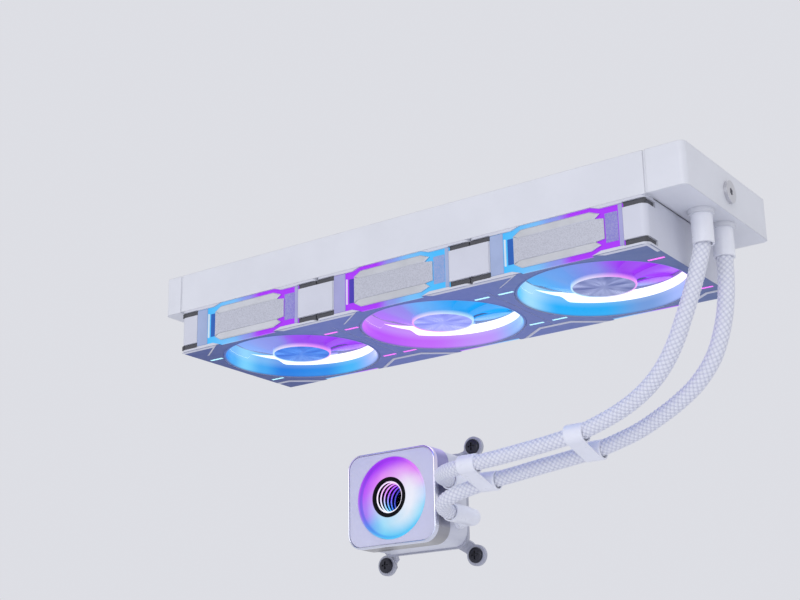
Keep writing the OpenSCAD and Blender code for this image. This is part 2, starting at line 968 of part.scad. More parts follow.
core_tubes();
core_fins();
header_plates();
tank_left();
tank_right();
side_rail_front();
side_rail_back();
tank_barbs();
fill_plug();
fan_frame(0);  // fan_frame_left
fan_frame(1);  // fan_frame_middle
fan_frame(2);  // fan_frame_right
light_ring(0);  // light_ring_left
light_ring(1);  // light_ring_middle
light_ring(2);  // light_ring_right
fan_lights(0);  // fan_lights_left
fan_lights(1);  // fan_lights_middle
fan_lights(2);  // fan_lights_right
side_plates(0);  // side_plates_left
side_plates(1);  // side_plates_middle
side_plates(2);  // side_plates_right
fan_motor(0);  // fan_motor_left
fan_motor(1);  // fan_motor_middle
fan_motor(2);  // fan_motor_right
rotor(0);  // rotor_left
rotor(1);  // rotor_middle
rotor(2);  // rotor_right
hub_cap(0);  // hub_cap_left
hub_cap(1);  // hub_cap_middle
hub_cap(2);  // hub_cap_right
fan_shaft(0);  // fan_shaft_left
fan_shaft(1);  // fan_shaft_middle
fan_shaft(2);  // fan_shaft_right
fan_screws();
corner_covers();
pump_housing();
pump_sleeve();
pump_trim();
pump_cap();
light_dish();
mirror_cup();
mirror_glass();
led_board();
pump_stator();
impeller();
cold_plate();
cold_plate_gasket();
cold_plate_screws();
cpu_bracket();
cpu_screws();
elbow_upper();
elbow_lower();
pump_ferrules();
tank_ferrules();
hose_upper();
hose_lower();
clip_pump_end();
clip_radiator_end();
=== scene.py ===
"""Looks of a sealed liquid cooler: radiator, three lit fans, two braided hoses and a pump block."""

import math

import bmesh
import bpy
import numpy as np
from mathutils import Matrix, Vector


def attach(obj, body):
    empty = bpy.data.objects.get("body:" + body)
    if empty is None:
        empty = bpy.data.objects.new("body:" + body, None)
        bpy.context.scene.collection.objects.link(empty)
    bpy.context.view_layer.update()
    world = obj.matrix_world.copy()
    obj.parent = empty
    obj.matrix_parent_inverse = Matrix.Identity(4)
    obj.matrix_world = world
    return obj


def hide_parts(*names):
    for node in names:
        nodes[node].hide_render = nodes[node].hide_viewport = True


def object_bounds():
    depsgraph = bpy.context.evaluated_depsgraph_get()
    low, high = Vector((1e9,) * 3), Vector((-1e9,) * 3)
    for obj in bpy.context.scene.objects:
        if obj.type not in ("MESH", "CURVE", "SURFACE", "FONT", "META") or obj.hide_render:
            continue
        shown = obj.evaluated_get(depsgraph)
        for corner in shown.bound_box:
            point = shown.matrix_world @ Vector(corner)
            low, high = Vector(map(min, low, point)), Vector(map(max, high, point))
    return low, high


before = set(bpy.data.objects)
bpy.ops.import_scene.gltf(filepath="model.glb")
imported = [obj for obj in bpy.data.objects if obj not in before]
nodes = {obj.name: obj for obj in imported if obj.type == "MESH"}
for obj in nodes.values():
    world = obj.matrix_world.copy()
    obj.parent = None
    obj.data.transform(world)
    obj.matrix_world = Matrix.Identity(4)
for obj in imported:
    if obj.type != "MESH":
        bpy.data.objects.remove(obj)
cad_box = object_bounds()
scene = bpy.context.scene

MM = 0.001
FINE = 0.01 * MM
TAU = 2 * math.pi
ROOT = "cooler"
SIDES = ("left", "middle", "right")


# ---- camera

CAMERA_AT = Vector((0.5170, -0.7843, -0.3455))
CAMERA_AZIMUTH = math.radians(35.11)
CAMERA_ELEVATION = math.radians(-18.10)
CAMERA_ROLL = math.radians(-1.0)
CAMERA_LENS = 66.7


def make_camera():
    az, el = CAMERA_AZIMUTH, CAMERA_ELEVATION
    back = Vector((math.cos(el) * math.sin(az), -math.cos(el) * math.cos(az), math.sin(el)))
    right = Vector((math.cos(az), math.sin(az), 0))
    up = back.cross(right)
    right, up = (
        right * math.cos(CAMERA_ROLL) + up * math.sin(CAMERA_ROLL),
        up * math.cos(CAMERA_ROLL) - right * math.sin(CAMERA_ROLL),
    )
    data = bpy.data.cameras.new("camera")
    data.sensor_width = 36
    data.lens = CAMERA_LENS
    data.clip_start = 0.01
    data.clip_end = 50
    camera = bpy.data.objects.new("camera", data)
    scene.collection.objects.link(camera)
    turn = Matrix((right, up, back)).transposed().to_4x4()
    camera.matrix_world = Matrix.Translation(CAMERA_AT) @ turn
    scene.camera = camera


make_camera()


# ---- materials


class Shader:
    """A material with one Principled shader, and short calls that add nodes to it."""

    def __init__(self, name, color=(0.8, 0.8, 0.8), rough=0.5, metal=0.0, **sockets):
        self.material = bpy.data.materials.new(name)
        self.material.use_nodes = True
        self.tree = self.material.node_tree
        self.shader = self.tree.nodes["Principled BSDF"]
        self.point = self.node("TexCoord").outputs["Object"]
        self.put("Base Color", color)
        self.put("Roughness", rough)
        self.put("Metallic", metal)
        for socket, value in sockets.items():
            self.put(socket.replace("_", " "), value)

    def put(self, socket, value):
        """Sets a socket of the shader to a constant or links another node's output to it."""
        self.feed(self.shader, socket, value)

    def feed(self, node, socket, value):
        target = node.inputs[socket]
        if isinstance(value, bpy.types.NodeSocket):
            self.tree.links.new(value, target)
        elif isinstance(value, (tuple, list)) and target.type == "RGBA" and len(value) == 3:
            target.default_value = (*value, 1)
        else:
            target.default_value = value

    def node(self, kind, inputs=None, **settings):
        made = self.tree.nodes.new("ShaderNode" + kind)
        for key, value in settings.items():
            setattr(made, key, value)
        for socket, value in (inputs or {}).items():
            self.feed(made, socket, value)
        return made

    def world_point(self):
        return self.node("NewGeometry").outputs["Position"]

    def axis(self, point, name):
        return self.node("SeparateXYZ", {0: point}).outputs[name]

    def math(self, operation, a, b=0.0, c=0.0):
        return self.node("Math", {0: a, 1: b, 2: c}, operation=operation).outputs[0]

    def length(self, a, b):
        """The length of a flat vector (a, b)."""
        squares = self.math("MULTIPLY", a, a), self.math("MULTIPLY", b, b)
        return self.math("SQRT", self.math("ADD", *squares))

    def ranged(self, value, low, high, to_low=0.0, to_high=1.0):
        ends = {"From Min": low, "From Max": high, "To Min": to_low, "To Max": to_high}
        return self.node("MapRange", {"Value": value, **ends}).outputs["Result"]

    def scaled(self, point, scale, shift=(0, 0, 0)):
        return self.node("Mapping", {"Vector": point, "Scale": scale, "Location": shift}).outputs[0]

    def noise(self, point, scale, detail=3.0, rough=0.55):
        inputs = {"Vector": point, "Scale": scale, "Detail": detail, "Roughness": rough}
        return self.node("TexNoise", inputs).outputs["Fac"]

    def ramp(self, value, stops):
        made = self.node("ValToRGB", {"Fac": value})
        ramp = made.color_ramp
        ramp.interpolation = "EASE"
        while len(ramp.elements) < len(stops):
            ramp.elements.new(0.5)
        for element, (place, color) in zip(ramp.elements, stops):
            element.position = place
            element.color = (*color, 1)
        return made.outputs["Color"]

    def mix(self, factor, a, b):
        made = self.node("Mix", data_type="RGBA")
        for socket, value in zip([i for i in made.inputs if i.type == "RGBA"], (a, b)):
            if isinstance(value, bpy.types.NodeSocket):
                self.tree.links.new(value, socket)
            else:
                socket.default_value = (*value, 1)
        self.tree.links.new(factor, made.inputs["Factor"])
        return [o for o in made.outputs if o.type == "RGBA"][0]

    def bump(self, height, strength, distance, normal=None):
        inputs = {"Height": height, "Strength": strength, "Distance": distance}
        if normal is not None:
            inputs["Normal"] = normal
        return self.node("Bump", inputs).outputs["Normal"]

    def glow(self, color, strength):
        self.put("Emission Color", color)
        self.put("Emission Strength", strength)

    def vary_roughness(self, scale, low, high):
        """Roughness that wanders between two values."""
        self.put("Roughness", self.ranged(self.noise(self.point, scale), 0.2, 0.8, low, high))

    def grain(self, scale, strength):
        """A fine even grain, about a hundredth of a millimetre deep."""
        self.put("Normal", self.bump(self.noise(self.point, scale), strength, FINE))

    def edge_normal(self, radius):
        return self.node("Bevel", {"Radius": radius}, samples=4).outputs["Normal"]

    def tint(self, color, scale, amount, point=None):
        """The colour with soft cloudy variation of its brightness."""
        cloud = self.noise(point or self.point, scale, 4.0)
        low = tuple(c * (1 - amount) for c in color)
        high = tuple(min(1.0, c * (1 + amount)) for c in color)
        return self.ramp(cloud, [(0.3, low), (0.7, high)])


def plastic(name, color, rough=0.42, grain=2500, grain_depth=FINE, edge=0.0006, tone=0.03):
    """Moulded plastic: fine spark-eroded grain, cloudy tone and slightly worn edges."""
    m = Shader(name, color, rough)
    m.put("Base Color", m.tint(color, 35, tone))
    m.vary_roughness(180, rough - 0.06, rough + 0.08)
    m.put("Normal", m.bump(m.noise(m.point, grain), 0.35, grain_depth, m.edge_normal(edge)))
    return m.material


def powder_coat(name, color):
    """Powder coat: an orange-peel skin over metal."""
    m = Shader(name, color, 0.38)
    peel = m.noise(m.point, 900, 2.0)
    m.put("Base Color", m.tint(color, 20, 0.025))
    m.vary_roughness(60, 0.32, 0.46)
    m.put("Normal", m.bump(peel, 0.5, 0.00003, m.edge_normal(0.0008)))
    return m.material


def brushed(name, color, stretch, rough=0.3, depth=FINE):
    """Metal brushed along one axis: stretch is small along the strokes and large across them."""
    m = Shader(name, color, rough, 1.0, Anisotropic=0.5)
    strokes = m.noise(m.scaled(m.point, stretch), 1.0, 5.0, 0.65)
    m.put("Base Color", m.tint(color, 0.6, 0.08, m.scaled(m.point, stretch)))
    m.put("Roughness", m.ranged(strokes, 0.25, 0.75, rough - 0.08, rough + 0.12))
    m.put("Normal", m.bump(strokes, 0.4, depth, m.edge_normal(0.0004)))
    return m.material


def blasted(name, color, scale, depth, rough=0.4):
    """Bead-blasted or knurled metal with an even grain."""
    m = Shader(name, color, rough, 0.85)
    grain = m.noise(m.point, scale, 2.0)
    m.put("Base Color", m.ramp(grain, [(0.35, tuple(c * 0.86 for c in color)), (0.6, color)]))
    m.put("Roughness", m.ranged(grain, 0.3, 0.7, rough + 0.1, rough - 0.05))
    m.put("Normal", m.bump(grain, 0.9, depth))
    return m.material


def plain_metal(name, color, rough=0.3):
    m = Shader(name, color, rough, 1.0)
    m.put("Base Color", m.tint(color, 60, 0.05))
    m.vary_roughness(300, rough - 0.05, rough + 0.12)
    m.put("Normal", m.bump(m.noise(m.point, 1500), 0.2, FINE, m.edge_normal(0.0003)))
    return m.material


def give(obj, material):
    obj.data.materials.clear()
    obj.data.materials.append(material)


# ---- mesh helpers


def new_object(name, verts, faces, material, smooth=35):
    mesh = bpy.data.meshes.new(name)
    mesh.from_pydata([tuple(v) for v in verts], [], [tuple(f) for f in faces])
    mesh.validate()
    obj = bpy.data.objects.new(name, mesh)
    scene.collection.objects.link(obj)
    tidy_normals(mesh)
    mesh.shade_smooth()
    if smooth < 180:
        mesh.set_sharp_from_angle(angle=math.radians(smooth))
    mesh.materials.append(material)
    return obj


def tidy_normals(mesh):
    bm = bmesh.new()
    bm.from_mesh(mesh)
    bmesh.ops.remove_doubles(bm, verts=bm.verts, dist=1e-7)
    bmesh.ops.recalc_face_normals(bm, faces=bm.faces)
    bm.to_mesh(mesh)
    bm.free()


def place(obj, body, slot, replaces=()):
    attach(obj, body)
    if replaces:
        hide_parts(*replaces)
    return obj


def grid_faces(rows, columns, wrap_rows=False, wrap_columns=True):
    faces = []
    for i in range(rows if wrap_rows else rows - 1):
        for j in range(columns if wrap_columns else columns - 1):
            a, b = i * columns + j, i * columns + (j + 1) % columns
            c, d = ((i + 1) % rows) * columns + (j + 1) % columns, ((i + 1) % rows) * columns + j
            faces.append((a, b, c, d))
    return faces


def polar(r, angle, z):
    """A point in metres from millimetres and radians."""
    return (r * MM * math.cos(angle), r * MM * math.sin(angle), z * MM)


def lathe(profile, steps=96):
    """Turns a closed section of (radius, height) points in millimetres about Z."""
    verts = [polar(r, TAU * k / steps, z) for r, z in profile for k in range(steps)]
    return verts, grid_faces(len(profile), steps, wrap_rows=True)


def moved(verts, matrix):
    return [matrix @ Vector(v) for v in verts]


def joined(parts):
    verts, faces = [], []
    for part_verts, part_faces in parts:
        start = len(verts)
        verts.extend(part_verts)
        faces.extend(tuple(i + start for i in face) for face in part_faces)
    return verts, faces


def rounded_loop(width, length, radius, arc_steps=10, side_steps=30):
    """A rounded rectangle's points in millimetres, counter-clockwise, with points along its sides too."""
    points = []
    for corner, (sx, sy) in enumerate(((1, 1), (-1, 1), (-1, -1), (1, -1))):
        for k in range(arc_steps + 1):
            a = math.radians(90 * corner + 90 * k / arc_steps)
            x = sx * (width / 2 - radius) + radius * math.cos(a)
            y = sy * (length / 2 - radius) + radius * math.sin(a)
            points.append((x, y))
        x, y = points[-1]
        run = width - 2 * radius if corner % 2 == 0 else length - 2 * radius
        dx, dy = ((-1, 0), (0, -1), (1, 0), (0, 1))[corner]
        points += [
            (x + dx * run * k / side_steps, y + dy * run * k / side_steps) for k in range(1, side_steps)
        ]
    return points


def loop_verts(loops):
    return [tuple(c * MM for c in point) for loop in loops for point in loop]


def ring_of_loops(loops):
    """Joins equal loops of 3D points (millimetres) into a tube that closes on itself."""
    return loop_verts(loops), grid_faces(len(loops), len(loops[0]), wrap_rows=True)


def loft(loops):
    """Joins equal loops of 3D points (millimetres), with caps at the ends."""
    count = len(loops[0])
    verts = loop_verts(loops)
    faces = grid_faces(len(loops), count)
    faces.append(tuple(reversed(range(count))))
    faces.append(tuple(range(len(verts) - count, len(verts))))
    return verts, faces


def bevelled_slab(outline, low, high, bevel, steps=3):
    """A flat plate of a 2D outline (millimetres) between two heights, with its edges rounded off."""
    bm = bmesh.new()
    base = [bm.verts.new((x * MM, y * MM, low * MM)) for x, y in outline]
    face = bm.faces.new(base)
    top = bmesh.ops.extrude_face_region(bm, geom=[face])
    lifted = [g for g in top["geom"] if isinstance(g, bmesh.types.BMVert)]
    bmesh.ops.translate(bm, verts=lifted, vec=(0, 0, (high - low) * MM))
    bmesh.ops.recalc_face_normals(bm, faces=bm.faces)
    if bevel > 0:
        rounding = {"segments": steps, "profile": 0.6, "affect": "EDGES", "clamp_overlap": True}
        bmesh.ops.bevel(bm, geom=list(bm.edges), offset=bevel * MM, **rounding)
    bm.verts.index_update()
    verts = [v.co.copy() for v in bm.verts]
    faces = [tuple(v.index for v in f.verts) for f in bm.faces]
    bm.free()
    return verts, faces


# ---- shared looks

# Millimetres, as in the CAD frame: heights on a fan count upwards from its open face
FAN_PITCH = 120
FAN_LOW = -57
FAN_T = 30
CENTRES = dict(zip(SIDES, (-FAN_PITCH, 0, FAN_PITCH)))
THROAT_R = 52.5
RING_R = 55.35
# Heights in the throat of the glowing white band that paints the blades' highlight
BAND_LOW = 8.7
BAND_HIGH = 15.0
HUB_R = 20.5
BLADE_TIP_R = 51.0
PUMP_AT = (-85, 108, -153.5)
# The lavender cast of this white is painted light: it stands for the blue glow of the fans' lights on the
# plastic.
WHITE_PLASTIC = (0.64, 0.65, 0.72)

SKY = (0.05, 0.50, 1.0)
PALE_SKY = (0.17, 0.52, 0.96)
LAVENDER = (0.25, 0.30, 0.82)
PURPLE = (0.40, 0.02, 0.95)

WARM_END = {"left": True, "middle": False, "right": True}


def across(side, stops):
    """Colour stops from a fan's cool side to its warm side, in its own left to right order."""
    if WARM_END[side]:
        return stops
    return [(1 - place, color) for place, color in reversed(stops)]


def fan_x(m, side, half, world=False):
    """0 to 1 across a fan, from -half to half millimetres of its axis."""
    centre = CENTRES[side]
    x = m.axis(m.world_point() if world else m.point, "X")
    return m.ranged(x, (centre - half) * MM, (centre + half) * MM)


def cool_to_warm(side, half, stops, world=False):
    """A colour for lit_plastic that runs across a fan from its cool side to its warm side."""
    return lambda m: m.ramp(fan_x(m, side, half, world), across(side, stops))


def at_fan(side):
    return Matrix.Translation((CENTRES[side] * MM, 0, FAN_LOW * MM))


UPRIGHT = Matrix.Rotation(math.radians(90), 4, "X")
IN_PUMP = Matrix.Translation([c * MM for c in PUMP_AT]) @ UPRIGHT
MIRROR_Y = Matrix.Diagonal((1, -1, 1, 1))
# Stands a drawing in X and Z up on a fan's front side, its height growing outwards
ON_FRONT = Matrix.Translation((0, -FAN_PITCH / 2 * MM, 0)) @ UPRIGHT


def make(name, parts, matrix, material, body, slot, replaces=(), smooth=35):
    verts, faces = joined(parts)
    return place(new_object(name, moved(verts, matrix), faces, material, smooth), body, slot, replaces)


def fan_piece(name, side, parts, material, slot, replaces="", smooth=35, body=ROOT):
    """A piece of one fan, named after its side; it may stand in for that fan's own CAD node."""
    replaced = [replaces + "_" + side] if replaces else ()
    make(name + "_" + side, parts, at_fan(side), material, body, slot, replaced, smooth)


def both_sides(parts):
    """The parts of a fan's front side, and the same on its back."""
    verts, faces = joined(parts)
    front = moved(verts, ON_FRONT)
    return [(front, faces), (moved(front, MIRROR_Y), faces)]


def box_outline(x_low, x_high, z_low, z_high):
    return [(x_low, z_low), (x_high, z_low), (x_high, z_high), (x_low, z_high)]


def inset(outline, by):
    """The outline with every edge moved inwards."""
    result = []
    count = len(outline)
    for i in range(count):
        a, b, c = (Vector(outline[(i + k - 1) % count]) for k in range(3))
        u, v = (b - a).normalized(), (c - b).normalized()
        n, m = Vector((-u.y, u.x)), Vector((-v.y, v.x))
        result.append(tuple(b + (n + m) * by / (1 + n.dot(m))))
    return result


def slab_loops(outline, levels):
    """Lofts an outline through (height, inset) levels."""
    return loft([[(x, y, z) for x, y in inset(outline, by)] for z, by in levels])


def lit_plastic(name, base, color_of, strength, rough=0.35, grain=1500):
    """Frosted plastic with light behind it."""
    m = Shader(name, base, rough, Specular_IOR_Level=0.25)
    cloud = m.noise(m.point, 120, 2.0)
    m.put("Base Color", m.tint(base, 60, 0.06))
    m.glow(color_of(m), m.ranged(cloud, 0.2, 0.8, strength * 0.96, strength * 1.04))
    m.put("Roughness", m.ranged(cloud, 0.2, 0.8, rough - 0.05, rough + 0.1))
    m.grain(grain, 0.25)
    return m.material


def frame_plastic_material(name="frame_plastic", from_z=-0.35, to_z=-0.75):
    """White moulded plastic, with the lights' blue spill on the faces that look down."""
    m = Shader(name, WHITE_PLASTIC, 0.42)
    white = m.tint(WHITE_PLASTIC, 35, 0.03)
    spill = m.ramp(
        m.ranged(m.axis(m.point, "X"), -0.19, 0.19),
        [
            (0.0, (0.02, 0.05, 0.25)), (0.18, (0.05, 0.10, 0.36)), (0.32, (0.11, 0.16, 0.50)),
            (0.6, (0.12, 0.17, 0.50)), (0.8, (0.11, 0.17, 0.43)), (1.0, (0.08, 0.13, 0.33))
        ],
    )
    down = m.ranged(m.axis(m.node("NewGeometry").outputs["Normal"], "Z"), from_z, to_z)
    low = m.ranged(m.axis(m.point, "Z"), -0.052, -0.0545)
    m.put("Base Color", m.mix(m.math("MULTIPLY", down, low), white, spill))
    m.vary_roughness(180, 0.36, 0.5)
    m.put("Normal", m.bump(m.noise(m.point, 2500), 0.35, FINE, m.edge_normal(0.0006)))
    return m.material


frame_plastic = frame_plastic_material()
powder_white = powder_coat("white_aluminium", (0.72, 0.73, 0.77))
steel = plain_metal("screw_steel", (0.62, 0.62, 0.65), 0.32)
black_oxide = plain_metal("black_oxide", (0.05, 0.05, 0.06), 0.38)
# Painted shade for the grooves at the fans' corners.
painted_groove_shade = plastic("painted_groove_shade", (0.075, 0.075, 0.085), 0.55)


# ---- hoses

HOSE_D = 0.0105
# Millimetres, from the ferrule on the pump block to the port's barb
UPPER_ROUTE = [
    (-36.5, 76, -147), (-36.5, 66, -147), (-36.5, 57, -147), (-35.4, 49, -147), (-31.8, 41.5, -147.1),
    (-26, 34.8, -147.5), (-19.5, 28.8, -148), (-12, 24, -148.3), (-3.5, 20.6, -148.4), (5, 18.8, -148.1),
    (25, 18, -146.9), (45, 18.5, -144.8), (65, 19.5, -142.3), (84.5, 20, -139.2), (99, 19.3, -135.6),
    (115, 17.3, -130.8), (130, 14, -125), (143.5, 9.5, -118), (155, 4.5, -109.6), (165, -0.5, -99),
    (173.5, -5, -86.5), (181, -8.8, -74), (188, -12, -60), (192.5, -14.2, -48), (194, -15, -38),
    (194, -15, -30),
]
LOWER_ROUTE = [
    (-36.5, 76, -169), (-36.5, 66, -169), (-36.5, 57, -169), (-35.7, 49.8, -168.2), (-32.2, 43, -166.7),
    (-26.2, 37.8, -165), (-17.8, 35, -162.9), (-7, 35.4, -160.3), (9, 37, -157), (28, 38.5, -154.4),
    (47, 39.5, -151.7), (65, 41, -149.2), (85, 42, -146.3), (101, 41, -143.1), (119, 38.5, -138.7),
    (137, 34, -132.6), (152, 29.5, -126.6), (167, 25, -118), (180, 20.8, -105), (188.5, 17.6, -87.5),
    (192.8, 15.8, -69), (194, 15, -51), (194, 15, -40), (194, 15, -30),
]
CLIPS = {
    "clip_pump_end": [(5, 18.8, -148.1), (9, 37, -157)],
    "clip_radiator_end": [(84.5, 20, -139.2), (85, 42, -146.3)],
}


def smooth_line(points, step):
    """A Catmull-Rom curve through the points, resampled at an even step."""
    p = np.array(points, float)
    p = np.vstack([2 * p[0] - p[1], p, 2 * p[-1] - p[-2]])
    u = np.linspace(0, 1, 24, endpoint=False)[:, None]
    runs = []
    for a, b, c, d in zip(p[:-3], p[1:-2], p[2:-1], p[3:]):
        runs.append(
            0.5 * (
                2 * b + (c - a) * u + (2 * a - 5 * b + 4 * c - d) * u**2 + (3 * b - a - 3 * c + d) * u**3
            )
        )
    line = np.vstack([*runs, p[-2][None]])
    along = np.concatenate([[0], np.cumsum(np.linalg.norm(np.diff(line, axis=0), axis=1))])
    count = int(round(along[-1] / step)) + 1
    places = np.linspace(0, along[-1], count)
    return np.stack([np.interp(places, along, line[:, k]) for k in range(3)], axis=1), along[-1]


def normals_along(line):
    """Two normals at each point, which turn as little as they can along the line."""
    t = np.gradient(line, axis=0)
    t /= np.linalg.norm(t, axis=1)[:, None]
    n = np.zeros_like(t)
    n[0] = (0, 0, 1)
    for i in range(len(line)):
        v = n[max(i - 1, 0)] - np.dot(n[max(i - 1, 0)], t[i]) * t[i]
        n[i] = v / np.linalg.norm(v)
    return n, np.cross(t, n)


def braid_height(along, turn, carriers=8, lay=0.028):
    """Height of a one-over one-under braid, 0 in the gaps to 1 on the crowns, along and round a hose."""
    right = carriers * (turn + along / lay)
    left = carriers * (turn - along / lay)
    over = np.mod(np.floor(right) + np.floor(left), 2) < 1
    across = np.where(over, right, left)
    other = np.where(over, left, right)
    crown = np.sqrt(np.clip(1 - (2 * np.mod(across, 1) - 1) ** 2, 0, 1))
    run = 0.5 + 0.5 * np.cos(TAU * (np.mod(other, 1) - 0.5))
    strands = 0.06 * np.cos(TAU * 4 * np.mod(across, 1))
    return 0.45 * crown + 0.55 * crown * run + strands * crown


def hose(name, route, material):
    step, around, depth = 0.42 * MM, 96, 0.6 * MM
    line, length = smooth_line(route, step)
    n, b = normals_along(line)
    turn = np.arange(around) / around
    along = np.linspace(0, length, len(line))
    height = braid_height(along[:, None], turn[None, :])
    radius = HOSE_D / 2 - depth + depth * height
    ring = np.cos(TAU * turn)[None, :, None] * n[:, None] + np.sin(TAU * turn)[None, :, None] * b[:, None]
    verts = (line[:, None] + radius[:, :, None] * ring).reshape(-1, 3)
    faces = grid_faces(len(line), around)
    faces += [tuple(reversed(range(around))), tuple(range(len(verts) - around, len(verts)))]
    obj = new_object(name, verts, faces, material, smooth=180)
    shade = obj.data.attributes.new("weave", "FLOAT", "POINT")
    shade.data.foreach_set("value", height.reshape(-1).astype(np.float32))
    return obj, line[::12], length


def braid_material():
    """White polyester yarn over rubber: crowns catch the light, and painted shade darkens the gaps between
    the strands.
    """
    m = Shader("hose_braid", (0.86, 0.87, 0.92), 0.62, Sheen_Weight=0.25, Sheen_Roughness=0.4)
    weave = m.node("Attribute", attribute_name="weave").outputs["Fac"]
    fibre = m.noise(m.scaled(m.point, (2600, 2600, 2600)), 1.0, 2.0)
    level = m.math("ADD", weave, m.ranged(fibre, 0.2, 0.8, -0.08, 0.08))
    # Painted shade: the gaps of the weave are darker and the crowns lighter.
    m.put(
        "Base Color",
        m.ramp(level, [(0.0, (0.40, 0.42, 0.52)), (0.35, (0.66, 0.67, 0.75)), (0.9, (0.82, 0.83, 0.88))])
    )
    m.put("Roughness", m.ranged(fibre, 0.2, 0.8, 0.55, 0.75))
    m.put("Normal", m.bump(fibre, 0.4, 0.00005))
    return m.material


braid = braid_material()
fitting_plastic = plastic(
    "fitting_plastic", (0.84, 0.85, 0.90), 0.3, grain=4000, grain_depth=0.000004, edge=0.0005
)


def clip(name, places):
    """Two rounded sleeves on the hoses, joined by a flat strap that is flush with their lower sides."""
    inner, outer, half = 5.42, 6.6, 6.5
    rounding = [(outer, half - 0.8), (outer - 0.1, half - 0.25), (outer - 0.4, half)]
    profile = [(inner, -half)] + [(r, -h) for r, h in reversed(rounding)] + rounding + [(inner, half)]
    along = Matrix.Rotation(math.radians(90), 4, "Y")
    verts, faces = lathe(profile, 72)
    a, b = (Vector(at) for at in places)
    parts = [(moved(verts, Matrix.Translation(at * MM) @ along), faces) for at in (a, b)]
    span = b - a
    tilt = Matrix.Rotation(math.atan2(span.z, span.y), 4, "X")
    strap = rounded_loop(12.4, 1.1, 0.45, 5, 1)
    ends = []
    for at, reach in ((a, -0.5), (b, 0.5)):
        ends.append([tuple(at + tilt @ Vector((x, reach, z - outer + 0.6))) for x, z in strap])
    parts.append(loft(ends))
    make(name + "_sleeves", parts, Matrix(), fitting_plastic, ROOT, "fitting_plastic", [name], smooth=40)


for clip_name, clip_places in CLIPS.items():
    clip(clip_name, clip_places)

for hose_name, points in (("hose_upper", UPPER_ROUTE), ("hose_lower", LOWER_ROUTE)):
    route = [tuple(round(c * MM, 7) for c in point) for point in points]
    piece, path, length = hose(hose_name + "_braid", route, braid)
    place(piece, ROOT, "hose_braid", [hose_name])


# ---- fans

PANEL = [
    (-45, 2), (-30, 2), (-24, 0), (24, 0), (30, 2), (45, 2),
    (45, 28), (30, 28), (24, 30), (-24, 30), (-30, 28), (-45, 28),
]
LOW_FACET = [(-28.3, 6), (-23, 2.8), (24, 2.8), (30.5, 5.3), (26.6, 8.2), (-24.5, 8.2)]
BAND = [
    (-28.3, 6.2), (-24.9, 7.9), (27, 7.9), (32.8, 8.7), (32.8, 21.3), (27, 22.1), (-24.9, 22.1),
    (-28.3, 23.8)
]

WALL_STOPS = [(0.0, SKY), (0.3, PALE_SKY), (0.5, LAVENDER), (0.66, PURPLE), (1.0, PURPLE)]
DASH_STOPS = [
    (0.0, (0.45, 0.92, 1.0)), (0.45, (0.45, 0.92, 1.0)), (0.55, (1.0, 0.10, 0.90)), (1.0, (1.0, 0.10, 0.90))
]


def side_light(side):
    """The lit panel on a fan's front and back: rim, pale blocks, a bright line, a slot darkened with
    painted shade and a window.
    """

    def two(cool, warm):
        return cool_to_warm(side, 45, [(0.0, cool), (1.0, warm)])

    def window(m):
        grain = m.noise(m.point, 1100, 2.0)
        hue = two((0.20, 0.46, 0.95), (0.24, 0.18, 0.85))(m)
        return m.mix(m.ranged(grain, 0.35, 0.7, 0.0, 0.55), hue, (0.62, 0.62, 0.95))

    rim = cool_to_warm(side, 36, WALL_STOPS)
    block = two((0.34, 0.50, 0.92), (0.42, 0.36, 0.92))
    line = two((0.72, 0.93, 1.0), (0.85, 0.72, 1.0))
    # Painted shade: the slot beside the raised plate is dark, for the plate's shadow in it.
    slot = two((0.01, 0.15, 0.60), (0.08, 0.03, 0.55))
    # Slabs as (outline, low, high, bevel)
    left_block = (box_outline(-44.8, -35.8, 2.3, 27.7), -1.0, -0.05, 0.3)
    right_block = (box_outline(42.2, 44.8, 2.3, 27.7), -1.0, 0.0, 0.3)
    bright_line = (box_outline(-35.0, -34.0, 6.5, 23.5), -1.0, -0.1, 0.15)
    shaded_slot = (box_outline(-32.8, -28.9, 6.8, 23.2), -1.0, -0.6, 0.15)
    pane = (box_outline(33.4, 41.6, 6.0, 24.0), -1.0, -0.2, 0.25)
    # Name, colour, base colour, strength, slabs
    shapes = [
        ("side_glow", rim, (0.02, 0.02, 0.03), 0.95, [(inset(PANEL, 0.1), -2.9, -1.0, 0.25)]),
        ("side_block", block, (0.24, 0.26, 0.34), 0.34, [left_block, right_block]),
        ("side_line", line, (0.2, 0.2, 0.25), 0.62, [bright_line]),
        ("side_slot_shade", slot, (0.01, 0.015, 0.05), 0.7, [shaded_slot]),
        ("side_window", window, (0.12, 0.12, 0.18), 0.5, [pane]),
    ]
    for name, color, base, strength, slabs in shapes:
        parts = both_sides([bevelled_slab(*slab, steps=2) for slab in slabs])
        material = lit_plastic(name + "_" + side, base, color, strength)
        fan_piece(name, side, parts, material, "diffuser", "fan_lights" if name == "side_glow" else "")


def side_plate(side, facet_metal, band_metal):
    """The bright hexagonal plate: two smooth raised facets with a fine-grained band between them."""
    facets = []
    for flip in (False, True):
        outline = [(x, FAN_T - z) for x, z in reversed(LOW_FACET)] if flip else LOW_FACET
        facets.append(slab_loops(outline, [(-0.9, 0.0), (0.0, 0.0), (0.6, 0.75)]))
    slot = "silver_plate"
    fan_piece("plate_facets", side, both_sides(facets), facet_metal, slot, "side_plates", 20)
    band = [slab_loops(BAND, [(-0.9, 0.0), (0.05, 0.0), (0.25, 0.25)])]
    fan_piece("plate_band", side, both_sides(band), band_metal, slot, smooth=20)


def dashes(side):
    """Four short light bars in a fan's lower face."""
    parts = []
    for sign in (-1, 1):
        for y in (-32.4, 35):
            x = sign * 51.3
            parts.append(bevelled_slab(box_outline(x - 5.5, x + 5.5, y - 1.4, y + 1.4), 0.0, 1.2, 0.15, 2))
    material = lit_plastic("dash_" + side, (0.3, 0.3, 0.35), cool_to_warm(side, 60, DASH_STOPS), 1.0)
    fan_piece("dashes", side, parts, material, "diffuser")


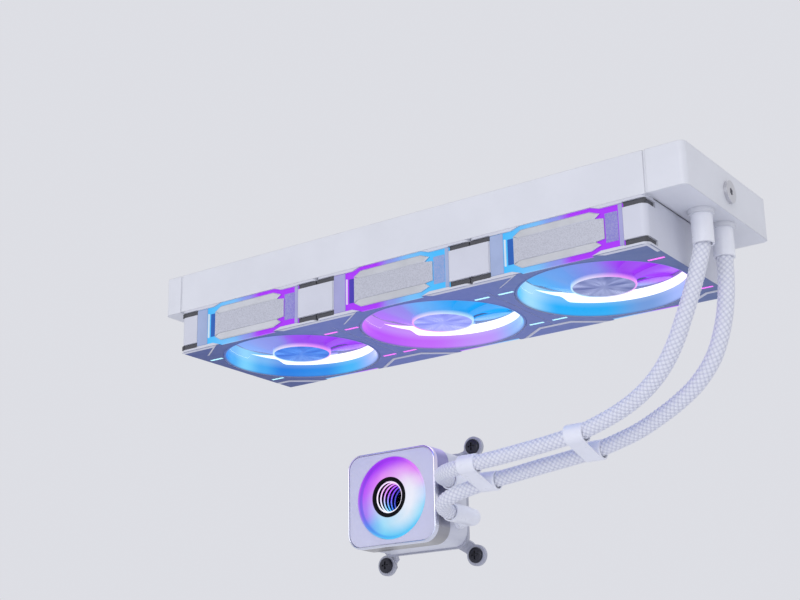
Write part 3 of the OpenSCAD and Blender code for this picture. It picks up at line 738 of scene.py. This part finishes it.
LIP_STOPS = {
    "left": [
        (0.1, (0.55, 0.50, 0.97)), (0.3, (0.36, 0.48, 0.96)), (0.48, (0.05, 0.47, 0.94)),
        (0.62, (0.01, 0.26, 0.82)), (0.8, (0.004, 0.20, 0.76)), (0.9, (0.05, 0.40, 0.90)),
        (1.0, (0.18, 0.64, 0.97))
    ],
    "middle": [
        (0.1, (0.08, 0.50, 0.93)), (0.3, (0.28, 0.48, 0.93)), (0.5, (0.53, 0.30, 0.96)),
        (0.75, (0.55, 0.13, 0.95)), (1.0, (0.49, 0.08, 0.95))
    ],
    "right": [
        (0.1, (0.45, 0.30, 0.88)), (0.3, (0.37, 0.49, 0.96)), (0.48, (0.17, 0.33, 0.70)),
        (0.66, (0.01, 0.42, 0.92)), (0.84, (0.005, 0.43, 0.96)), (1.0, (0.34, 0.72, 0.97))
    ],
}
# Painted light: the lights' blue spill on the flat face round each lip, the same as on the frames' lower
# faces.
RIM_PAINTED_SPILL = {"left": (0.06, 0.12, 0.42), "middle": (0.12, 0.17, 0.50), "right": (0.11, 0.16, 0.42)}
BAND_TAPER = 12.65


def highlight_heights(angle):
    """The lower and upper edge of the painted highlight in a throat, a glowing white band: two long strips
    that taper to a point.
    """
    low_stops = [
        (0, BAND_LOW), (143, BAND_LOW), (149, 12.0), (174, 12.6), (177, BAND_LOW),
        (328, BAND_LOW), (334, 12.0), (354, 12.6), (357, BAND_LOW), (360, BAND_LOW),
    ]
    none = BAND_LOW + 0.1
    high_stops = [
        (0, none), (20, none), (24, BAND_HIGH), (148, BAND_HIGH), (174, BAND_TAPER), (176, none),
        (224, none), (228, BAND_HIGH), (333, BAND_HIGH), (354, BAND_TAPER), (356, none), (360, none),
    ]
    low, high = (float(np.interp(angle, *zip(*stops))) for stops in (low_stops, high_stops))
    return low, max(high, low + 0.05)


def turned(profile_at, steps=180):
    """A ring whose (radius, height) section may change with the angle."""
    sections = [profile_at(360 * k / steps) for k in range(steps)]
    verts = []
    for i in range(len(sections[0])):
        for k, section in enumerate(sections):
            r, z = section[i]
            verts.append(polar(r, TAU * k / steps, z))
    return verts, grid_faces(len(sections[0]), steps, wrap_rows=True)


def lip(side):
    """The frosted funnel round the fan's open face, and above it in the throat a glowing white band that is
    a painted highlight: the bright streak on the spinning blades.
    """
    quarter = np.linspace(0, math.pi / 2, 9)
    arc = [(THROAT_R + 1.2 * (1 - math.cos(a)), 5.0 * (1 - math.sin(a))) for a in quarter]
    rim = [(54.4, 0.02), (55.1, 0.2), (RING_R, 0.7)]

    def sleeve(low, high):
        return [(THROAT_R, low), (THROAT_R, high), (RING_R, high), (RING_R, low)]

    def funnel(angle):
        low = highlight_heights(angle)[0]
        return [(THROAT_R, low)] + arc + rim + [(RING_R, low)]

    def band(angle):
        low, high = highlight_heights(angle)
        return sleeve(low + 0.01, high)

    def above(angle):
        return sleeve(min(highlight_heights(angle)[1], BAND_HIGH - 0.02) + 0.01, BAND_HIGH)

    dark = (0.04, 0.045, 0.06)
    m = Shader("lip_" + side, dark, 0.3, Specular_IOR_Level=0.2)
    across_fan = m.math("SUBTRACT", m.axis(m.point, "X"), CENTRES[side] * MM)
    round_fan = m.math("ABSOLUTE", m.math("ARCTAN2", m.axis(m.point, "Y"), across_fan))
    hue = m.ramp(m.math("DIVIDE", round_fan, math.pi), LIP_STOPS[side])
    hue = m.mix(m.ranged(m.axis(m.point, "Z"), -0.0520, -0.0475, 0.0, 0.2), hue, (0.75, 0.88, 1.0))
    fade = m.ranged(m.length(across_fan, m.axis(m.point, "Y")), 0.0530, 0.0541)
    # Outside the lip the glow fades and the base colour is the painted blue spill.
    m.put("Base Color", m.mix(fade, dark, RIM_PAINTED_SPILL[side]))
    m.glow(hue, m.ranged(fade, 0.0, 1.0, 0.95, 0.03))
    m.put("Roughness", m.ranged(m.noise(m.point, 120, 2.0), 0.2, 0.8, 0.25, 0.4))
    m.grain(1500, 0.25)
    parts = [turned(funnel), turned(above)]
    fan_piece("lip", side, parts, m.material, "diffuser", "light_ring", 60)
    # Painted highlight: the bright streak on the spinning blades, made as a glowing band that stays with
    # the frame.
    highlight_color = cool_to_warm(
        side, 52, [(0.0, (0.80, 0.95, 1.0)), (0.5, (1.0, 0.96, 1.0)), (1.0, (1.0, 0.84, 1.0))]
    )
    white = lit_plastic("throat_highlight_" + side, (0.7, 0.7, 0.75), highlight_color, 1.1)
    fan_piece("throat_highlight", side, [turned(band)], white, "diffuser", smooth=60)


BLADES = 9
BLADE_STOPS = {
    "left": [
        (0.0, (0.22, 0.36, 0.86)), (0.45, (0.24, 0.28, 0.80)), (0.62, (0.32, 0.06, 0.85)),
        (1.0, (0.33, 0.015, 0.88))
    ],
    "middle": [
        (0.0, (0.40, 0.16, 0.88)), (0.3, (0.30, 0.22, 0.83)), (0.5, (0.13, 0.42, 0.93)),
        (0.72, (0.01, 0.36, 0.92)), (1.0, (0.005, 0.36, 0.92))
    ],
    "right": [
        (0.0, (0.06, 0.38, 0.84)), (0.3, (0.12, 0.33, 0.82)), (0.55, (0.22, 0.25, 0.80)),
        (0.7, (0.33, 0.04, 0.86)), (1.0, (0.34, 0.015, 0.90))
    ],
}


def blade_verts():
    """One swept blade: it leans forward and climbs into the throat towards its tip."""
    rows, columns, thickness = 13, 15, 1.25
    root_r, root_z, climb, rise = 19.8, 4.8, 10.2, 4.6
    width = math.radians(64)
    skins = []
    for sign in (-1, 1):
        verts = []
        for i in range(rows):
            u = i / (rows - 1)
            r = root_r + (BLADE_TIP_R - root_r) * u
            start = math.radians(18 * u**1.3)
            low = root_z + climb * u**0.8
            for j in range(columns):
                v = j / (columns - 1)
                a = start + width * v
                z = low + rise * (0.82 * v + 0.18 * v * v) - 0.4 * math.sin(math.pi * v)
                fullness = math.sqrt(max(0.0, math.sin(math.pi * min(1, 0.10 + 0.86 * v))))
                half = thickness / 2 * (0.30 + 0.70 * fullness)
                verts.append(polar(r, a, z + sign * half))
        skins.append(verts)
    count = rows * columns
    verts = skins[0] + skins[1]
    faces = [tuple(reversed(f)) for f in grid_faces(rows, columns, wrap_columns=False)]
    faces += [tuple(i + count for i in f) for f in grid_faces(rows, columns, wrap_columns=False)]
    edge = list(range(columns))
    edge += [i * columns + columns - 1 for i in range(1, rows)]
    edge += [(rows - 1) * columns + j for j in range(columns - 2, -1, -1)]
    edge += [i * columns for i in range(rows - 2, 0, -1)]
    for k, a in enumerate(edge):
        b = edge[(k + 1) % len(edge)]
        faces.append((a, b, b + count, a + count))
    return verts, faces


def rotor(side, hub_shell, hub_metal):
    """A fan's turning part: blades, hub and the disc on the hub, which glows with painted reflections."""
    body = "spinner_" + side
    verts, faces = blade_verts()
    blades = [(moved(verts, Matrix.Rotation(TAU * k / BLADES, 4, "Z")), faces) for k in range(BLADES)]

    def color(m):
        return m.ramp(fan_x(m, side, 50, world=True), BLADE_STOPS[side])

    frosted = lit_plastic("blades_" + side, (0.018, 0.02, 0.03), color, 0.97, rough=0.4)
    fan_piece("blades", side, blades, frosted, "blade_plastic", "rotor", 50, body)
    outside = [(HUB_R, 9.0), (HUB_R, 23.0), (20.0, 24.0), (18.6, 24.0)]
    shell = outside + [(18.5, 23.5), (18.5, 5.0), (1.6, 5.0), (1.6, 3.8), (19.4, 3.8), (19.4, 9.0)]
    fan_piece("hub_shell", side, [lathe(shell)], hub_shell, "blade_plastic", smooth=40, body=body)

    # Painted highlight: the lower edge of the hub's rim glows pale, for the lights' reflection on it;
    # higher up it takes the blades' colour.
    edge = cool_to_warm(
        side, 21, [(0.0, (0.50, 0.80, 1.0)), (0.5, (0.80, 0.74, 1.0)), (1.0, (0.90, 0.30, 1.0))], world=True
    )

    def rim_highlight_color(m):
        return m.mix(m.ranged(m.axis(m.point, "Z"), -0.0549, -0.0524), edge(m), color(m))

    glow = lit_plastic("hub_rim_highlight_" + side, (0.04, 0.04, 0.07), rim_highlight_color, 0.9, rough=0.25)
    rim = [(19.45, 3.7), (19.45, 2.1), (19.6, 1.85), (20.0, 1.75), (20.35, 1.95)]
    rim += [(HUB_R, 2.4), (HUB_R, 8.98), (19.45, 8.98)]
    fan_piece("hub_rim_highlight", side, [lathe(rim, 120)], glow, "blade_plastic", smooth=60, body=body)
    disc = [(0.02, 2.0), (18.9, 2.0), (19.3, 2.1), (19.42, 2.4), (19.42, 3.6), (0.02, 3.6)]
    fan_piece("hub_disc", side, [lathe(disc)], hub_metal, "hub_metal", "hub_cap", 50, body)


def spun_metal_painted_sheen(side):
    """A turned disc: fine rings round the fan's axis, with soft radial streaks that fade at its centre; the
    streaks are painted highlights and the disc glows with painted reflection colours.
    """
    # Per fan, the dark and light tones are painted reflections of that fan's lights.
    dark, light = {
        "left": ((0.004, 0.09, 0.50), (0.04, 0.26, 0.80)),
        "middle": ((0.17, 0.20, 0.66), (0.42, 0.46, 0.92)),
        "right": ((0.055, 0.075, 0.25), (0.34, 0.38, 0.62)),
    }[side]
    m = Shader("hub_metal_" + side, dark, 0.3, 0.9, Anisotropic=0.7)
    centre = m.scaled(m.point, (1, 1, 1), (-CENTRES[side] * MM, 0, 0))
    x, y = m.axis(centre, "X"), m.axis(centre, "Y")
    radius = m.length(x, y)
    angle = m.math("ARCTAN2", y, x)
    rings = m.math("SINE", m.math("MULTIPLY", radius, TAU / 0.00055))
    round_x, round_y = (m.math("MULTIPLY", m.math(wave, angle), 2.0) for wave in ("SINE", "COSINE"))
    swirl = m.node("CombineXYZ", {"X": round_x, "Y": round_y, "Z": m.math("MULTIPLY", radius, 40.0)})
    noise = m.noise(swirl.outputs[0], 1.1, 1.5)
    off_middle = m.math("SUBTRACT", noise, 0.5)
    painted_streak = m.math("ADD", m.math("MULTIPLY", off_middle, m.ranged(radius, 0.001, 0.006)), 0.5)
    metal = m.ramp(painted_streak, [(0.15, dark), (0.9, light)])
    m.put("Base Color", metal)
    m.put("Roughness", m.ranged(painted_streak, 0.3, 0.7, 0.42, 0.24))
    # Painted glow: the metal shines with its painted reflection colours without a lamp on it.
    m.glow(metal, 0.55)
    m.put("Normal", m.bump(rings, 0.25, 0.00003))
    return m.material


def corner_covers():
    """Raised trapezoids with wide chamfers that bridge the seams between the fans."""
    parts = []
    for seam in (-180, -60, 60, 180):
        left, right = seam > -180, seam < 180
        foot, top, deep, gap = 33, 12, -16, 0.5
        outline = [(-foot if left else gap, 0), (-top if left else gap, deep)]
        outline += [(top if right else -gap, deep), (foot if right else -gap, 0)]
        verts, faces = slab_loops(outline, [(0.0, 0.0), (-0.12, 0.0), (-0.8, 1.5)])
        verts = moved(verts, Matrix.Translation((seam * MM, 59.6 * MM, FAN_LOW * MM)))
        parts += [(verts, faces), (moved(verts, MIRROR_Y), faces)]
    plastic_with_edges = frame_plastic_material("cover_plastic", -0.93, -0.98)
    slot, covers = "frame_plastic", ["corner_covers"]
    make("corner_covers_bevelled", parts, Matrix(), plastic_with_edges, ROOT, slot, covers, smooth=20)


def seam_plates():
    """Thin plates that bridge the seams between the fans on the front and the back."""
    slabs = [bevelled_slab(box_outline(x - 14.3, x + 14.3, 5.0, 25.0), 0.02, 0.45, 0.2) for x in (-60, 60)]
    make(
        "seam_plates", both_sides(slabs), at_fan("middle"), frame_plastic, ROOT, "frame_plastic", smooth=30
    )


def groove_shade_sheets():
    """Dark sheets of painted shade in the grooves at the fans' corners."""
    parts = []
    lows, height, length = (1.7, 25.2), 3.1, 14.2
    for side in SIDES:
        outlines = [box_outline(x, x + length, low, low + height) for low in lows for x in (-59.6, 45.4)]
        for verts, faces in both_sides([bevelled_slab(outline, -1.58, -1.0, 0) for outline in outlines]):
            parts.append((moved(verts, at_fan(side)), faces))
    on_end = Matrix.Rotation(math.radians(90), 4, "Z") @ UPRIGHT
    for x in (-178.3, 178.3):
        for low in lows:
            for y in (-53.5, 53.5):
                verts, faces = bevelled_slab(box_outline(-6, 6, low, low + height), 0, 0.5, 0)
                turn = Matrix.Translation((x * MM, y * MM, FAN_LOW * MM)) @ on_end
                parts.append((moved(verts, turn), faces))
    make("groove_shade_sheets", parts, Matrix(), painted_groove_shade, ROOT, "frame_plastic")


facet_metal = plain_metal("plate_facets", (0.66, 0.67, 0.70), 0.34)
band_metal = blasted("plate_band", (0.62, 0.63, 0.70), 1500, 0.00006, 0.45)
hub_shell = plastic("hub_shell", (0.45, 0.46, 0.62), 0.4)

for fan_side in SIDES:
    side_light(fan_side)
    side_plate(fan_side, facet_metal, band_metal)
    dashes(fan_side)
    lip(fan_side)
    rotor(fan_side, hub_shell, spun_metal_painted_sheen(fan_side))
corner_covers()
seam_plates()
groove_shade_sheets()


# ---- radiator fins


def fins():
    """Folded strips between the coolant tubes: one thin zigzag sheet for each gap."""
    core_half_w, core_half_l, gaps = 49, 179.5, 13
    tube_pitch, tube_w, pitch, sheet, z_low, z_high = 2 * core_half_w / 12, 1.8, 3.0, 0.14, -24.5, -2.5
    parts = []
    for k in range(gaps):
        low = -core_half_w + (k - 0.5) * tube_pitch + tube_w / 2
        high = low + tube_pitch - tube_w
        low, high = max(low, -48.95) + 0.1, min(high, 48.95) - 0.1
        folds = int(4 * core_half_l / pitch)
        loop = []
        for i in range(folds + 1):
            x = -core_half_l + i * pitch / 2
            loop.append((x, low if i % 2 else high))
        verts, faces = [], []
        for x, y in loop:
            for dx in (-sheet / 2, sheet / 2):
                for z in (z_low, z_high):
                    verts.append(((x + dx) * MM, y * MM, z * MM))
        for i in range(folds):
            a, b = 4 * i, 4 * (i + 1)
            faces += [(a, b, b + 1, a + 1), (a + 2, a + 3, b + 3, b + 2)]
            faces += [(a, a + 2, b + 2, b), (a + 1, b + 1, b + 3, a + 3)]
        faces += [(0, 1, 3, 2), (4 * folds, 4 * folds + 2, 4 * folds + 3, 4 * folds + 1)]
        parts.append((verts, faces))
    m = Shader("fin_aluminium", (0.66, 0.67, 0.70), 0.4, 0.35)
    louvre = m.math("SINE", m.math("MULTIPLY", m.axis(m.point, "Z"), TAU / 0.0012))
    m.put("Base Color", m.tint((0.66, 0.67, 0.70), 40, 0.05))
    m.vary_roughness(200, 0.34, 0.5)
    m.put("Normal", m.bump(louvre, 0.3, 0.0001))
    make("folded_fins", parts, Matrix(), m.material, ROOT, "fin_aluminium", ["core_fins"], smooth=20)


fins()


# ---- pump block

PUMP_W, PUMP_L, PUMP_H, PUMP_CORNER = 76, 68, 52, 11.5
CORNER_STEPS = 24


def pump_loop(by, z):
    points = rounded_loop(PUMP_W - 2 * by, PUMP_L - 2 * by, PUMP_CORNER - by, CORNER_STEPS)
    return [(x, y, z) for x, y in points]


def pump_piece(name, parts, material, slot, replaces, smooth=40):
    make(name, parts, IN_PUMP, material, ROOT, slot, [replaces], smooth)


def circle_like(loop, radius, z):
    """A circle with one point for each of the loop's, in the same direction from the centre."""
    return [(radius * x / math.hypot(x, y), radius * y / math.hypot(x, y), z) for x, y, _ in loop]


def pump_ring(name, ring, material, slot, node):
    """A rounded-rectangle tube of the given (inset, height) section."""
    parts = [ring_of_loops([pump_loop(by, z) for by, z in ring])]
    pump_piece(name, parts, material, slot, node)


def brushed_sleeve_painted_light():
    m = Shader("sleeve_metal", (0.5, 0.5, 0.56), 0.3, 0.95, Anisotropic=0.5)
    strokes = m.noise(m.scaled(m.point, (900, 60, 900)), 1.0, 5.0, 0.65)
    # Painted light: by height, grey on the lower side, painted shade across the middle and a lavender
    # painted reflection of the fans' lights on the upper side.
    height = m.ranged(m.axis(m.point, "Z"), -0.189, -0.118)
    tone = m.ramp(
        height,
        [
            (0.0, (0.42, 0.41, 0.41)), (0.25, (0.36, 0.36, 0.42)), (0.6, (0.22, 0.22, 0.34)),
            (0.85, (0.36, 0.34, 0.62)), (1.0, (0.50, 0.42, 0.85))
        ]
    )
    m.put("Base Color", tone)
    m.put("Roughness", m.ranged(strokes, 0.25, 0.75, 0.24, 0.44))
    m.put("Normal", m.bump(strokes, 0.4, FINE, m.edge_normal(0.0004)))
    return m.material


def polished_trim():
    m = Shader("trim_chrome", (0.80, 0.80, 0.86), 0.14, 1.0)
    height = m.ranged(m.axis(m.point, "Z"), -0.189, -0.118)
    # Painted reflection: the chrome is tinted blue-grey below and lavender above, where it reflects the
    # fans' lights.
    m.put(
        "Base Color",
        m.ramp(height, [(0.0, (0.72, 0.74, 0.84)), (0.5, (0.80, 0.80, 0.88)), (1.0, (0.74, 0.66, 0.92))])
    )
    m.vary_roughness(400, 0.1, 0.22)
    m.grain(1500, 0.15)
    return m.material


pump_ring(
    "sleeve_tube", [(0.3, 34.0), (0.0, 34.3), (0.0, 47.7), (0.25, 47.95), (1.48, 47.95), (1.48, 34.0)],
    brushed_sleeve_painted_light(), "sleeve_metal", "pump_sleeve"
)
pump_ring(
    "trim_ring",
    [
        (0.3, 48.0), (0.0, 48.3), (0.0, 50.5), (0.15, 51.2), (0.55, 51.75), (1.0, 51.95), (1.3, 51.8),
        (1.38, 51.3), (1.38, 48.0)
    ],
    polished_trim(), "trim_chrome", "pump_trim",
)


def pump_cap():
    """The face round the dish: a rounded rectangle outside and a softly rounded circle inside."""
    outer = [(1.5, 49.3), (1.5, 51.0), (1.65, 51.3), (2.0, 51.4)]
    loops = [pump_loop(by, z) for by, z in outer]
    for radius, z in ((29.9, 51.4), (29.4, 51.2), (29.15, 50.8), (29.1, 50.2), (29.1, 49.3)):
        loops.append(circle_like(loops[0], radius, z))
    cap = plastic("cap_plastic", (0.64, 0.64, 0.78), 0.5, grain=3500, grain_depth=0.000006)
    pump_piece("cap_panel", [ring_of_loops(loops)], cap, "cap_plastic", "pump_cap")


def dish():
    """The lit dish: magenta above, cyan below, pale round the mirror, and painted shade in the groove at
    its rim, strongest on the left.
    """
    m = Shader("dish_glow", (0.04, 0.04, 0.06), 0.3, Specular_IOR_Level=0.25)
    point = m.point = m.scaled(m.point, (1, 1, 1), [-c * MM for c in PUMP_AT])
    x, z = m.axis(point, "X"), m.axis(point, "Z")
    radius = m.length(x, z)
    height = m.ranged(m.math("ADD", z, m.math("MULTIPLY", x, -0.25)), -0.028, 0.028)
    hue = m.ramp(
        height,
        [
            (0.0, (0.06, 0.60, 0.98)), (0.2, (0.25, 0.74, 1.0)), (0.42, (0.58, 0.72, 1.0)),
            (0.58, (0.82, 0.52, 0.97)), (0.76, (0.80, 0.20, 0.97)), (1.0, (0.42, 0.02, 0.98))
        ],
    )
    left_hue = m.ramp(
        height,
        [
            (0.0, (0.10, 0.62, 0.98)), (0.22, (0.10, 0.32, 0.93)), (0.45, (0.42, 0.20, 0.95)),
            (0.75, (0.52, 0.08, 0.97)), (1.0, (0.35, 0.01, 0.95))
        ],
    )
    hue = m.mix(m.ranged(x, -0.006, -0.022), hue, left_hue)
    side = m.ranged(x, -0.012, 0.016)
    middle = m.ranged(radius, 0.0275, 0.019)
    pale = m.math("MULTIPLY", m.math("MULTIPLY", side, middle), m.ranged(height, 1.0, 0.5, 0.1, 0.85))
    hue = m.mix(pale, hue, (0.93, 0.93, 1.0))
    # Painted shade: the groove at the rim is darkened, more towards the left.
    groove = m.math("MULTIPLY", m.ranged(radius, 0.0262, 0.0272), m.ranged(radius, 0.0288, 0.0280))
    groove_shade_hue = m.ramp(
        height, [(0.1, (0.03, 0.30, 0.90)), (0.5, (0.14, 0.10, 0.85)), (1.0, (0.28, 0.01, 0.85))]
    )
    hue = m.mix(m.math("MULTIPLY", groove, m.ranged(x, 0.012, -0.018, 0.1, 0.8)), hue, groove_shade_hue)
    m.glow(hue, m.ranged(m.noise(point, 160), 0.2, 0.8, 0.84, 0.9))
    m.vary_roughness(300, 0.26, 0.4)
    m.grain(1500, 0.2)
    top = 51.2
    rise = [
        (26.2, -1.9), (25.0, -1.5), (23.0, -0.7), (21.0, 0.15), (19.0, 1.0), (17.2, 1.75), (15.6, 2.35),
        (14.6, 2.75), (14.35, 2.8)
    ]
    edge = [(29.0, 0.0), (28.75, -0.1), (28.3, -0.6), (27.9, -1.3)]
    groove_floor = [(27.6, -1.9), (27.2, -2.25), (26.7, -2.2)]
    profile = edge + groove_floor + rise
    profile += [(14.35, 0.9), (16, 0.2), (20, -1.8), (25, -3.6), (29.0, -4.3)]
    bowl = lathe([(r, top + h) for r, h in profile], 144)
    pump_piece("dish_bowl", [bowl], m.material, "diffuser", "light_dish", 60)


def mirror_tunnel():
    """The black cup with rings of light that fade as they go deeper, behind a pane: the top ring is the lit
    ring and the deeper ones are its painted reflections.
    """
    ink = (0.002, 0.002, 0.004)
    black = Shader("gloss_black", ink, 0.2, Specular_IOR_Level=0.08)
    black.put("Base Color", black.tint(ink, 80, 0.3))
    black.vary_roughness(300, 0.08, 0.18)
    top = 54.5
    mouth = [
        (14.28, top - 0.7), (14.1, top - 0.2), (13.7, top), (12.0, top), (11.5, top - 0.15),
        (11.3, top - 0.5)
    ]
    cup = [(14.28, 30.0)] + mouth + [(11.3, 30.6), (0.05, 30.6), (0.05, 29.6), (14.0, 29.6)]
    pump_piece("tunnel_cup", [lathe(cup, 120)], black.material, "black_plastic", "mirror_cup", 50)
    tops = (
        (1.0, 0.80, 1.0), (1.0, 0.55, 1.0), (0.85, 0.28, 1.0), (0.50, 0.10, 1.0), (0.22, 0.06, 0.9),
        (0.05, 0.04, 0.5)
    )
    lows = (
        (1.0, 1.0, 1.0), (0.85, 0.97, 1.0), (0.35, 0.80, 1.0), (0.08, 0.55, 1.0), (0.02, 0.22, 0.9),
        (0.01, 0.08, 0.5)
    )
    # Painted reflections: under the top ring, each deeper glowing ring stands for one more reflection in
    # the mirror, fainter each time.
    for k, (high, low) in enumerate(zip(tops, lows)):
        z = top - 1.6 - 4.25 * k
        wire_r, turns = 0.48, np.linspace(0, TAU, 12, endpoint=False)
        tube = [(10.7 + wire_r * math.cos(a), z + wire_r * math.sin(a)) for a in turns]
        m = Shader(f"tunnel_light_{k}", (0.1, 0.1, 0.12), 0.4)
        height = m.ranged(m.axis(m.point, "Z"), (PUMP_AT[2] - 10) * MM, (PUMP_AT[2] + 10) * MM)
        m.put("Base Color", m.ramp(height, [(0, (0.1, 0.1, 0.14)), (1, (0.14, 0.1, 0.14))]))
        m.glow(m.ramp(height, [(0.15, low), (0.85, high)]), 1.1)
        make(f"tunnel_ring_{k}", [lathe(tube, 96)], IN_PUMP, m.material, ROOT, "mirror_glass", smooth=180)
    glass = Shader("mirror_glass", (0.9, 0.9, 1.0), 0.02, Transmission_Weight=1.0, IOR=1.05)
    glass.vary_roughness(200, 0.0, 0.03)
    pane = [(0.05, top - 1.0), (11.2, top - 1.0), (11.2, top - 0.7), (0.05, top - 0.7)]
    pump_piece("mirror_pane", [lathe(pane)], glass.material, "mirror_glass", "mirror_glass", 30)


def cross_radius(angle, half_length=3.0, half_width=0.65):
    """The outline of a cross recess, as a radius for each angle in degrees."""
    a = math.radians(angle % 90)
    a = min(a, math.pi / 2 - a)
    return min(half_length / math.cos(a), half_width / math.sin(a)) if a > 0 else half_length


def bracket_screws():
    """Four low cross-recessed screws in the bracket's ears."""
    quarter = [0, 6, 12.2, 12.3, 14, 17, 22, 30, 45, 60, 68, 73, 76, 77.7, 77.8, 84]
    angles = [90 * q + a for q in range(4) for a in quarter]
    rows = [(0.05, -8.0), (1.4, -8.0)]
    for k in range(22):
        rows.append((1.62 if k % 2 else 1.9, -7.6 + 0.35 * k))
    rows += [
        (1.9, 0.1), (1.9, 0.55), (2.1, 0.6), (2.1, 3.6), (5.45, 3.6), (5.6, 3.75), (5.6, 4.6), (5.45, 5.1),
        (5.0, 5.5), (4.3, 5.7), (3.7, 5.8)
    ]
    circles = [[(r, a, z) for a in angles] for r, z in rows]
    depths = ((1.0, 5.8), (0.94, 5.7), (0.8, 4.7), (0.02, 4.6))
    pit = [[(cross_radius(a) * scale, a, z) for a in angles] for scale, z in depths]
    verts = [polar(r, math.radians(a), z) for row in circles + pit for r, a, z in row]
    faces = grid_faces(len(circles) + len(pit), len(angles), wrap_rows=True)
    reach = 39 * MM
    places = [(sx * reach, sy * reach, 0) for sx in (-1, 1) for sy in (-1, 1)]
    parts = [(moved(verts, Matrix.Translation(at)), faces) for at in places]
    pump_piece("bracket_screws", parts, black_oxide, "dark_steel", "cpu_screws", 35)


pump_cap()
dish()
mirror_tunnel()
bracket_screws()


# ---- finishes of the CAD nodes


def coil_material():
    """Copper windings: fine turns along Z."""
    m = Shader("motor", (0.30, 0.10, 0.03), 0.35, 0.5)
    wound = m.math("SINE", m.math("MULTIPLY", m.axis(m.point, "Z"), TAU / 0.0006))
    m.put("Base Color", m.tint((0.30, 0.10, 0.03), 90, 0.3))
    m.vary_roughness(300, 0.3, 0.5)
    m.put("Normal", m.bump(wound, 0.5, 0.0001))
    return m.material


pump_plastic = plastic("pump_plastic", (0.66, 0.67, 0.74), 0.38)
black_plastic = plastic("impeller_plastic", (0.02, 0.02, 0.022), 0.4)
circuit = plastic("circuit_board", (0.02, 0.10, 0.06), 0.35)
copper = brushed("copper", (0.75, 0.34, 0.20), (1200, 1200, 40), 0.28)
rubber = plastic("gasket_rubber", (0.02, 0.02, 0.02), 0.7)
bracket = powder_coat("bracket_steel", (0.42, 0.43, 0.50))
tube_metal = powder_coat("tube_aluminium", (0.70, 0.71, 0.74))
coil = coil_material()

FINISHES = {
    powder_white: [
        "header_plates", "tank_left", "tank_right", "side_rail_front", "side_rail_back", "tank_barbs"
    ],
    tube_metal: ["core_tubes"],
    frame_plastic: ["fan_frame_" + s for s in SIDES],
    steel: ["fill_plug", "fan_screws", "cold_plate_screws"] + ["fan_shaft_" + s for s in SIDES],
    coil: ["pump_stator"] + ["fan_motor_" + s for s in SIDES],
    pump_plastic: ["pump_housing"],
    black_plastic: ["impeller"],
    circuit: ["led_board"],
    copper: ["cold_plate"],
    rubber: ["cold_plate_gasket"],
    bracket: ["cpu_bracket"],
    fitting_plastic: ["elbow_upper", "elbow_lower", "pump_ferrules", "tank_ferrules"],
}
for finish, names in FINISHES.items():
    for node_name in names:
        give(nodes[node_name], finish)


# ---- stage and light


def make_stage():
    floor_mesh = bpy.data.meshes.new("floor")
    size, height = 6.0, cad_box[0][2] - 0.22
    corners = [(-size, -size), (size, -size), (size, size), (-size, size)]
    floor_mesh.from_pydata([(x, y, height) for x, y in corners], [], [(0, 1, 2, 3)])
    floor = bpy.data.objects.new("floor", floor_mesh)
    scene.collection.objects.link(floor)
    pale_grey = (0.82, 0.83, 0.86)
    m = Shader("floor", pale_grey, 0.6)
    m.put("Base Color", m.tint(pale_grey, 2, 0.015))
    floor_mesh.materials.append(m.material)
    world = bpy.data.worlds.new("studio")
    world.use_nodes = True
    sky = world.node_tree.nodes["Background"]
    sky.inputs["Color"].default_value = (0.93, 0.94, 1.0, 1)
    sky.inputs["Strength"].default_value = 0.78
    scene.world = world
    scene.view_settings.view_transform = "Standard"


def area_light(name, at, aim, size, power, color=(1, 1, 1)):
    data = bpy.data.lights.new(name, "AREA")
    data.size = size
    data.energy = power
    data.color = color
    light = bpy.data.objects.new(name, data)
    light.location = at
    light.rotation_euler = (Vector(aim) - Vector(at)).to_track_quat("-Z", "Y").to_euler()
    scene.collection.objects.link(light)


make_stage()
area_light("key", (0.5, -1.6, 0.35), (0, 0, -0.06), 1.2, 6)
area_light("fill", (-1.4, -0.9, -0.1), (0, 0, -0.08), 1.2, 2, (0.86, 0.88, 1.0))
area_light("top", (0.2, 0.6, 1.4), (0, 0, 0), 1.4, 6)
area_light("under", (0.1, -0.2, -0.40), (0, 0, -0.06), 0.7, 0.25, (0.45, 0.5, 1.0))
